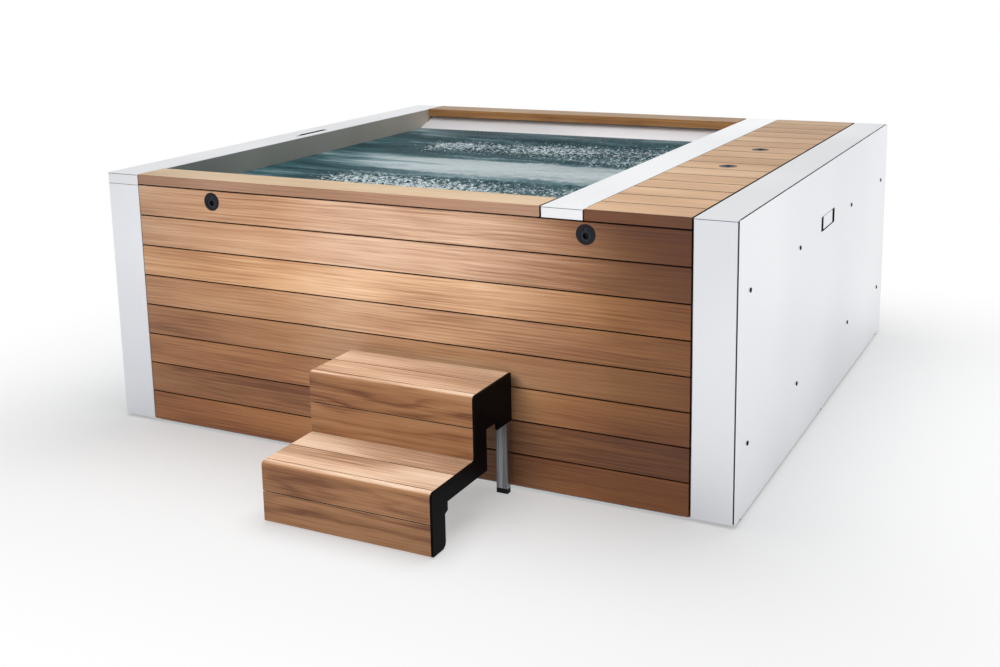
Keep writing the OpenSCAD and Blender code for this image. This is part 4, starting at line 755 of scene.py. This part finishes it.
# between the right rim and its side panel, up the front and along the top
panel_x = right_low.x - GAP
joint_shade_strip(panel_x, (body_front + 6 * MM, plank_low.z), (body_front + 20 * MM, top_z - 3 * MM))
joint_shade_strip(panel_x, (body_front + 21 * MM, top_z - 12 * MM),
           (body_back - 20 * MM, top_z + 1.2 * MM))

# %% [markdown]
# Finer dark lines cross the front, and they are painted shade as well: in the seam in the nose of
# each rim, where the sheet is folded over, in the joint between the left rim and its post, and
# under the cap and the deck, where a shadow falls. They are bars too, with a smaller rounding.

# %% Thin lines of painted shade across the front
THIN = 0.0004               # the rounding of a thin seam
seam_y = body_front + 0.8 * MM
seam = top_z - 4.5 * MM
for low_x, high_x in ((rim_low.x, rim_high.x), (strip_low.x, strip_high.x),
                      (lid_high.x + GAP, right_low.x - GAP)):
    strip(tub_shade_strips, (low_x + 3.5 * MM, seam_y, seam),
          (high_x - 3.5 * MM, body_front + 3 * MM, seam + 1.4 * MM), THIN)
strip(tub_shade_strips, (rim_low.x + 3 * MM, seam_y, rim_low.z - 1.45 * MM),
      (rim_high.x - 3 * MM, body_front + 20 * MM, rim_low.z - 0.05 * MM), THIN)
strip(tub_shade_strips, (cap_low.x, body_front + 8 * MM, cap_low.z - 2.2 * MM),
      (lid_high.x, inner_y, cap_low.z - 0.2 * MM))
piece("joint_shade_strips", tub_shade_strips, shade_strip_black, "tub")

# %% [markdown]
# The step's boards stand 3 mm apart, in the risers and in the treads. The same places parted its
# timber, so the black strips of painted shade take them from there. They stop well inside the
# boards' open left end, and just short of the right side plate. The step can be pushed away, so
# they ride on it and not on the tub.

# %% Painted shade in the step
HALF_STEP_SHADE_STRIP = 1.45                       # in mm, as the step's joints are
STEP_FACE, STEP_DEEP = 0.4, 18              # how far below a face a strip starts and ends
STEP_LEFT, STEP_RIGHT = 12, 2               # how far inside the boards' ends it stops
left_x, right_x = step_low.x + STEP_LEFT * MM, step_high.x - STEP_RIGHT * MM
step_shade_strips = bmesh.new()
for height, back in RISER_JOINTS:
    strip(step_shade_strips,
          (left_x, step_low.y + (back + STEP_FACE) * MM, (height - HALF_STEP_SHADE_STRIP) * MM),
          (right_x, step_low.y + (back + STEP_DEEP) * MM, (height + HALF_STEP_SHADE_STRIP) * MM))
for back, top in TREAD_JOINTS:
    strip(step_shade_strips, (left_x, step_low.y + (back - HALF_STEP_SHADE_STRIP) * MM, (top - STEP_DEEP) * MM),
          (right_x, step_low.y + (back + HALF_STEP_SHADE_STRIP) * MM, (top - STEP_FACE) * MM))
piece("step_board_shade_strips", step_shade_strips, shade_strip_black, "step")

# %% [markdown]
# The deck is two lids of slats, and each lid lifts off with its own black strips of painted shade,
# so these are one piece for each lid.

# %% Painted shade between the deck's slats
for name, body, row, low, high in (
        ("front_slat_shade_strips", "front_lid", lid_row, lid_low, lid_high),
        ("rear_slat_shade_strips", "rear_lid", rear_lid_row, rear_lid_low, rear_lid_high)):
    slat_shade_strips = bmesh.new()
    for cut in joints(row):
        board_shade_strip(slat_shade_strips, low.x, high.x, (cut - HALF_SHADE_STRIP, high.z - 16 * MM),
                   (cut + HALF_SHADE_STRIP, high.z - 3 * MM))
    piece(name, slat_shade_strips, shade_strip_black, body)

# %% [markdown]
# ## The water
# A running tub is full of air: bubbles rise in two broad bands where the jets
# meet, burst into a grey froth, and leave calmer streaks between them. An
# ocean modifier would give open waves, which a tub doesn't have. So the
# surface is one closed slab whose top is a fine grid. Noise lifts its points,
# more where the froth is, and the mesh keeps how frothy each point is.

# %% Shape of the water
WATER_LEVEL, WATER_BOTTOM = 0.815, 0.803
WATER_GAP = 0.001                           # what the slab leaves free beside the steel
LEDGE_TOP, LEDGE_DROP = cap_low.z, 0.058    # the sloping ledge's upper edge and its fall
LEDGE_SET, LEDGE_RUN = 0.078, 0.140         # where it starts behind the face, and how far it runs
# each band's place from front, 0, to back, 1, its half width and how much wider it gets
CHOP_BANDS = ((0.29, 0.07, 0.08), (0.69, 0.10, 0.09))
PATCHES = (2.1, 3.0)                        # patches of froth to a metre, along and across


def ledge_y(height):
    """How far the sloping ledge stands in from the face of the body at a height."""
    return LEDGE_SET + (LEDGE_TOP - height) / LEDGE_DROP * LEDGE_RUN


def froth(x, y):
    """How frothy the water is at a point: two broad bands with a calm one between."""
    along = (x - rim_high.x) / (strip_low.x - rim_high.x)
    across = (y - body_front) / (body_back - body_front)
    start = min(1.0, max(0.0, along * 7 - 0.7))     # no froth beside the left wall
    band = max(math.exp(-((across - middle) / (half + wider * along)) ** 2)
               for middle, half, wider in CHOP_BANDS)
    patch = noise.noise(Vector((x * PATCHES[0], y * PATCHES[1], 4.0))) * 0.5 + 0.5
    return max(0.0, min(1.0, start * band * (0.55 + 0.9 * patch) - 0.05))


# %% [markdown]
# The grid is stretched over the tank between the ledges. Its border is
# extruded down to make the slab's sides, which lean in with the ledges, and
# one face closes the bottom.

# %% The slab of water
x0, x1 = rim_high.x + WATER_GAP, strip_low.x - WATER_GAP
inset = ledge_y(WATER_LEVEL) + WATER_GAP
y0, y1 = body_front + inset, body_back - inset
water = bmesh.new()
layer = water.verts.layers.float.new("froth")
bmesh.ops.create_grid(water, x_segments=230, y_segments=270, size=0.5)
bmesh.ops.scale(water, vec=(x1 - x0, y1 - y0, 1), verts=water.verts)
bmesh.ops.translate(water, vec=((x0 + x1) / 2, (y0 + y1) / 2, WATER_LEVEL), verts=water.verts)
surface = list(water.verts)
skirt = bmesh.ops.extrude_edge_only(water, edges=[e for e in water.edges if e.is_boundary])["geom"]
lowest = [v for v in skirt if isinstance(v, bmesh.types.BMVert)]
lean = ledge_y(WATER_BOTTOM) - ledge_y(WATER_LEVEL)
bmesh.ops.translate(water, vec=(0, 0, WATER_BOTTOM - WATER_LEVEL), verts=lowest)
bmesh.ops.translate(water, vec=(0, lean, 0), verts=[v for v in lowest if v.co.y < y0 + 1 * MM])
bmesh.ops.translate(water, vec=(0, -lean, 0), verts=[v for v in lowest if v.co.y > y1 - 1 * MM])
bmesh.ops.holes_fill(water, edges=[e for e in water.edges if e.is_boundary], sides=0)
print("water", round((x1 - x0) / MM), "x", round((y1 - y0) / MM), "mm")

# %% [markdown]
# Two noises move the top. A slow swell lifts all of it, and a fine chop only
# the froth, which also lies a little lower, as water full of air does. Near
# the walls both fade out, so that the slab's edge stays on the steel.

# %% Waves
SWELL, CHOP, TROUGH = 0.004, 0.009, 0.004   # heights in metres
SWELLS, CHOPS = (2.2, 5.0), (34, 26)        # waves to a metre, along and across
CALM_EDGE = 0.05                            # the waves are full this far from the walls
for v in surface:
    amount = froth(v.co.x, v.co.y)
    v[layer] = amount
    edge = min(v.co.x - x0, x1 - v.co.x, v.co.y - y0, y1 - v.co.y)
    swell = noise.noise(Vector((v.co.x * SWELLS[0], v.co.y * SWELLS[1], 1.0))) * SWELL
    chop = noise.turbulence(Vector((v.co.x * CHOPS[0], v.co.y * CHOPS[1], 2.0)), 3, False)
    v.co.z += min(1.0, edge / CALM_EDGE) * (swell + chop * CHOP * amount - TROUGH * amount)
print("froth on", sum(v[layer] > 0.5 for v in surface), "of", len(surface), "points")

# %% [markdown]
# ## The water's finish
# Over a deep tank the water is dark teal, and the calm band between the jets
# is streaked with fine air. Froth is a clutter of pale flecks one or two
# centimetres long. Glassy water would let the light through to the tank, but
# water full of air hides what is under it, so the shader is opaque and its
# colours do the work. Its IOR starts from water's 1.33 and is matched down to
# 1.14, because broken water mirrors little of the room.

# %% Calm water
DEEP_WATER = ((0.40, "#254A51"), (0.55, "#49727A"), (0.66, "#93B3B9"), (0.78, "#D8E6EA"))
STREAK_REACH = (0.55, 0.085, 0.1)
STREAK_AIR = 0.33           # how much paler the air makes the streaks of the calm band
SLEEK, BUBBLY = 0.12, 0.5   # roughness of clear water and of froth
# the calm band rises and falls across the tub, and starts a little off the left wall
CALM_BAND = (("Y", body_front + 0.70, body_front + 0.95, False),
             ("Y", body_front + 1.08, body_front + 1.28, True),
             ("X", rim_high.x + 0.05, rim_high.x + 0.75, False))

bath_water, tree, shader = finish("frothing_water", Roughness=SLEEK, IOR=1.143,
                                  Specular_IOR_Level=0.05)
place = add(tree, "TexCoord", {}).outputs["Object"]
streak_run = add(tree, "VectorMath", {0: place, 1: [1 / r for r in STREAK_REACH]},
                 operation="MULTIPLY")
streaks = add(tree, "TexNoise", {"Vector": streak_run, "Scale": 1.0, "Detail": 4.0,
                                 "Roughness": 0.62})
axes = add(tree, "SeparateXYZ", {0: place})
calm = STREAK_AIR
for axis, near, far, falls in CALM_BAND:
    ends = {"To Min": calm, "To Max": 0.0} if falls else {"To Min": 0.0, "To Max": calm}
    calm = add(tree, "MapRange", {"Value": axes.outputs[axis], "From Min": near, "From Max": far,
                                  **ends}, interpolation_type="SMOOTHSTEP")
airy = add(tree, "Math", {0: streaks, 1: calm}, operation="ADD")
deep = add(tree, "ValToRGB", {0: airy}, stops=DEEP_WATER)

# %% [markdown]
# The mesh's froth says how much of the noise turns into bubbles: the frothier the water, the lower
# the threshold that a fleck has to pass. Between the bubbles the chop's shade is painted in, so the
# water is darker there.

# %% Froth
FLECK_REACH = (0.016, 0.019, 0.03)
FLECK_DEPTH = 0.010
NO_FROTH, FULL_FROTH = 0.80, 0.47   # the threshold where there is no froth, and where it is full
frothy = add(tree, "Attribute", {}, attribute_name="froth").outputs["Fac"]
fleck_run = add(tree, "VectorMath", {0: place, 1: [1 / r for r in FLECK_REACH]},
                operation="MULTIPLY")
flecks = add(tree, "TexNoise", {"Vector": fleck_run, "Scale": 1.0, "Detail": 4.0,
                                "Roughness": 0.8, "Distortion": 0.6})
threshold = add(tree, "MapRange", {"Value": frothy, "To Min": NO_FROTH, "To Max": FULL_FROTH})
above = add(tree, "Math", {0: flecks, 1: threshold}, operation="SUBTRACT")
bubbles = add(tree, "MapRange", {"Value": above, "From Min": -0.02, "From Max": 0.06})
# painted shade of the chop between the bubbles
chop_shade = add(tree, "Math", {0: frothy, 1: 0.7}, operation="MULTIPLY")
chop_shaded = add(tree, "Mix", {0: chop_shade, A: deep, B: linear("#1D3F46")}, **BLEND).outputs[MIXED]
colour = add(tree, "Mix", {0: bubbles, A: chop_shaded, B: linear("#DAE8EC")}, **BLEND).outputs[MIXED]
tree.links.new(colour, shader.inputs["Base Color"])
add(tree, "MapRange", {"Value": bubbles, "To Min": SLEEK, "To Max": BUBBLY},
    to=shader.inputs["Roughness"])
add(tree, "Bump", {"Height": flecks, "Distance": FLECK_DEPTH, "Strength": 0.45},
    to=shader.inputs["Normal"])
piece("bath_water", water, bath_water, "tub", smooth=True)

# %% [markdown]
# ## Weld beads in the tank
# The tank's ends are welded to its sloping ledges and walls. A ground weld
# leaves a low rounded bead, a few millimetres wide and brighter than the
# sheet. A curve with a round bevel would do, but it has to become a mesh in
# the end. So each bead is a circle that is extruded along the corner.

# %% Weld beads
BEAD = 2.6 * MM
BEAD_OUT = 1.2 * MM         # how far a bead's middle stands out of the corner
BEAD_FOOT = 0.42            # the upright beads end under the water, at this height
weld_metal = skin("ground_weld_bead", "#E4E2DC", "#F2F0EA", 0.3, 0.002, metallic=1.0)


def bead(form, points):
    """A rounded bead through the given points."""
    heading = (points[1] - points[0]).normalized()
    turn = heading.to_track_quat("Z", "Y").to_matrix().to_4x4()
    ring = bmesh.ops.create_circle(form, cap_ends=True, segments=8, radius=BEAD,
                                   matrix=Matrix.Translation(points[0]) @ turn)["verts"]
    face = ring[0].link_faces[0]
    for start, end in zip(points, points[1:]):
        grown = bmesh.ops.extrude_face_region(form, geom=[face])["geom"]
        moved = [g for g in grown if isinstance(g, bmesh.types.BMVert)]
        face = next(g for g in grown if isinstance(g, bmesh.types.BMFace))
        bmesh.ops.translate(form, vec=end - start, verts=moved)


beads = bmesh.new()
ledge_foot = LEDGE_TOP - LEDGE_DROP
for wall_x, inward in ((rim_high.x, 1), (strip_low.x, -1)):
    for face_y, way in ((body_front, 1), (body_back, -1)):
        x = wall_x + inward * BEAD_OUT
        bead(beads, [Vector((x, face_y + way * ledge_y(z), z + BEAD_OUT))
                     for z in (LEDGE_TOP - 1 * MM, ledge_foot + 1 * MM)])
        foot_y = face_y + way * (LEDGE_SET + LEDGE_RUN + BEAD_OUT)
        bead(beads, [Vector((x, foot_y, z)) for z in (ledge_foot - 4 * MM, BEAD_FOOT)])
piece("tank_weld_beads", beads, weld_metal, "tub", smooth=True)

# %% [markdown]
# ## Screw heads
# The side panels are held by black screws with a low round head and a socket
# for a hexagon key. The solids have plain countersunk heads there. A boolean
# could cut the socket, but it leaves ragged faces. So the heads are replaced:
# a round outline and a six-sided one are bridged into the top face, the outer
# edge is drawn back into the sheet, and the inner one into a cup.

# %% Screws
HEAD_R, SOCKET_R, HEAD_RISE, SOCKET_DEEP = 7.2 * MM, 3.2 * MM, 2.4 * MM, 1.8 * MM
HEAD_ROUNDING = 0.9 * MM
SCREW_PLACES = [(back, height) for back in (110, 685, 1465, 2040) for height in (222, 680)]


def screw_head(form, place, way):
    """One head whose top looks along X, to the left or right by way."""
    turn = Matrix.Rotation(math.radians(90 * way), 4, "Y")
    top = Matrix.Translation(place + Vector((way * HEAD_RISE, 0, 0))) @ turn
    rims = [bmesh.ops.create_circle(form, cap_ends=False, segments=n, radius=r, matrix=top)["verts"]
            for n, r in ((24, HEAD_R), (6, SOCKET_R))]
    outer, inner = [list({e for v in rim for e in v.link_edges}) for rim in rims]
    bmesh.ops.bridge_loops(form, edges=outer + inner)
    for edges, depth in ((outer, HEAD_RISE + 1 * MM), (inner, SOCKET_DEEP)):
        wall = bmesh.ops.extrude_edge_only(form, edges=edges)["geom"]
        low = [g for g in wall if isinstance(g, bmesh.types.BMVert)]
        bmesh.ops.translate(form, vec=(-way * depth, 0, 0), verts=low)
        rest = [g for g in wall if isinstance(g, bmesh.types.BMEdge)]
        bmesh.ops.edgeloop_fill(form, edges=[e for e in rest if all(v in low for v in e.verts)])
    bmesh.ops.bevel(form, geom=outer, offset=HEAD_ROUNDING, offset_type="OFFSET", affect="EDGES",
                    segments=2, profile=0.5, material=-1)


heads = bmesh.new()
for side_x, way in ((rim_low.x, -1), (right_high.x, 1)):
    for back, height in SCREW_PLACES:
        screw_head(heads, Vector((side_x, body_front + back * MM, height * MM)), way)
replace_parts(piece("panel_screw_heads", heads, screw_coat, "tub"), "panel_screws")

# %% [markdown]
# ## Floor
# The photograph stands the tub on white. The floor is a pale matt sheet that
# takes the tub's shadow near it. A sheet as large as the room would show its
# horizon, so its finish fades into plain white light further out, by the
# distance from the tub's outline.

# %% Floor
FLOOR_R = 40
TUB_HALF = (1.14, 0.95, 0.0)        # the outline from which the distance counts
NEAR_WHITE, WHITE_FROM = 0.4, 1.3   # the share of white at the tub, and where it is full
floor_form = bmesh.new()
bmesh.ops.create_circle(floor_form, cap_ends=True, segments=96, radius=FLOOR_R)
floor_mesh = bpy.data.meshes.new("floor")
floor_form.to_mesh(floor_mesh)
floor_form.free()
floor = bpy.data.objects.new("floor", floor_mesh)
bpy.context.scene.collection.objects.link(floor)
floor_paper, tree, shader = finish("matt_pale_floor", Roughness=0.9, Base_Color=linear("#EEEFF0"))
place = add(tree, "TexCoord", {}).outputs["Object"]
either_side = add(tree, "VectorMath", {0: place}, operation="ABSOLUTE")
beyond = add(tree, "VectorMath", {0: either_side, 1: TUB_HALF}, operation="SUBTRACT")
beyond = add(tree, "VectorMath", {0: beyond, 1: (0, 0, 0)}, operation="MAXIMUM")
distance = add(tree, "VectorMath", {0: beyond}, operation="LENGTH").outputs["Value"]
fade = add(tree, "MapRange", {"Value": distance, "From Max": WHITE_FROM, "To Min": NEAR_WHITE},
           interpolation_type="SMOOTHSTEP")
plain_white = add(tree, "Emission", {"Color": (1, 1, 1, 1), "Strength": 1.0})
add(tree, "MixShader", {0: fade, 1: shader, 2: plain_white},
    to=tree.nodes["Material Output"].inputs["Surface"])
floor_mesh.materials.append(floor_paper)
print("floor", FLOOR_R, "m to its edge")

# %% [markdown]
# ## World
# The room is white to the camera, and to the metal and glass that mirror it.
# As a light it is much weaker, because strong light from all sides would take
# the shape out of the boards, and the lamps would clip the pale sheets on top.

# %% World
WORLD_LIGHT = 0.15
world = bpy.data.worlds.new("studio")
bpy.context.scene.world = world
world.use_nodes = True
sky = world.node_tree
rays = add(sky, "LightPath", {})
seen = rays.outputs["Is Camera Ray"]
for ray in ("Is Glossy Ray", "Is Transmission Ray"):
    seen = add(sky, "Math", {0: seen, 1: rays.outputs[ray]}, operation="MAXIMUM")
background = sky.nodes["Background"].inputs
add(sky, "MapRange", {"Value": seen, "To Min": WORLD_LIGHT, "To Max": 1.0},
    to=background["Strength"])
background["Color"].default_value = (1, 1, 1, 1)
print("world lights at", WORLD_LIGHT)

# %% [markdown]
# ## Lamps
# A large lamp hangs overhead, a fill stands far in front, and a small key lamp
# close to the front brightens its middle. A fourth one reaches only the tank
# and the back cap, which the rims would otherwise leave too dark, and a fifth
# only the floor, where it draws the tub's soft shadow. Their watts are set so
# that a colour renders about as it is written. Every lamp is a soft disk that
# the metal doesn't mirror, because the real steel shows only a white room.

# %% What each lamp reaches
floor_only = bpy.data.collections.new("lit_floor")
tub_only = bpy.data.collections.new("lit_tub")
bath_only = bpy.data.collections.new("lit_bath")
floor_only.objects.link(floor)
for name in ("tank", "back_cap"):
    bath_only.objects.link(solids[name])
for thing in bpy.context.scene.objects:
    if thing.type == "MESH" and thing != floor:
        tub_only.objects.link(thing)


# %% Lamps
def soft_lamp(name, place, target, size, watts, lit):
    """A round lamp at a place that looks at a target and reaches one collection."""
    lamp = bpy.data.objects.new(name, bpy.data.lights.new(name, "AREA"))
    lamp.data.shape = "DISK"
    lamp.data.size = size
    lamp.data.energy = watts
    lamp.data.specular_factor = 0.3
    lamp.location = place
    lamp.rotation_euler = (Vector(target) - Vector(place)).to_track_quat("-Z", "Y").to_euler()
    lamp.visible_glossy = False
    lamp.visible_camera = False
    lamp.light_linking.receiver_collection = lit
    bpy.context.scene.collection.objects.link(lamp)
    print("lamp:", name, watts, "W")


soft_lamp("key_lamp", (0.02, -2.15, 1.3), (0.02, -0.8145, 0.58), 0.8, 19, tub_only)
soft_lamp("top_lamp", (0.2, -0.5, 3.9), (0.2, 0.1, 0.6), 2.4, 62, tub_only)
soft_lamp("front_fill", (0.4, -6.5, 2.6), (0.1, 0.2, 0.6), 2.4, 60, tub_only)
soft_lamp("bath_lamp", (0.1, -0.5, 2.0), (0.0, 0.8, 0.84), 1.0, 14, bath_only)
soft_lamp("floor_lamp", (0.3, 0.2, 5.0), (0.1, 0.0, 0.0), 4.5, 268, floor_only)
bpy.context.scene.view_settings.view_transform = "Standard"
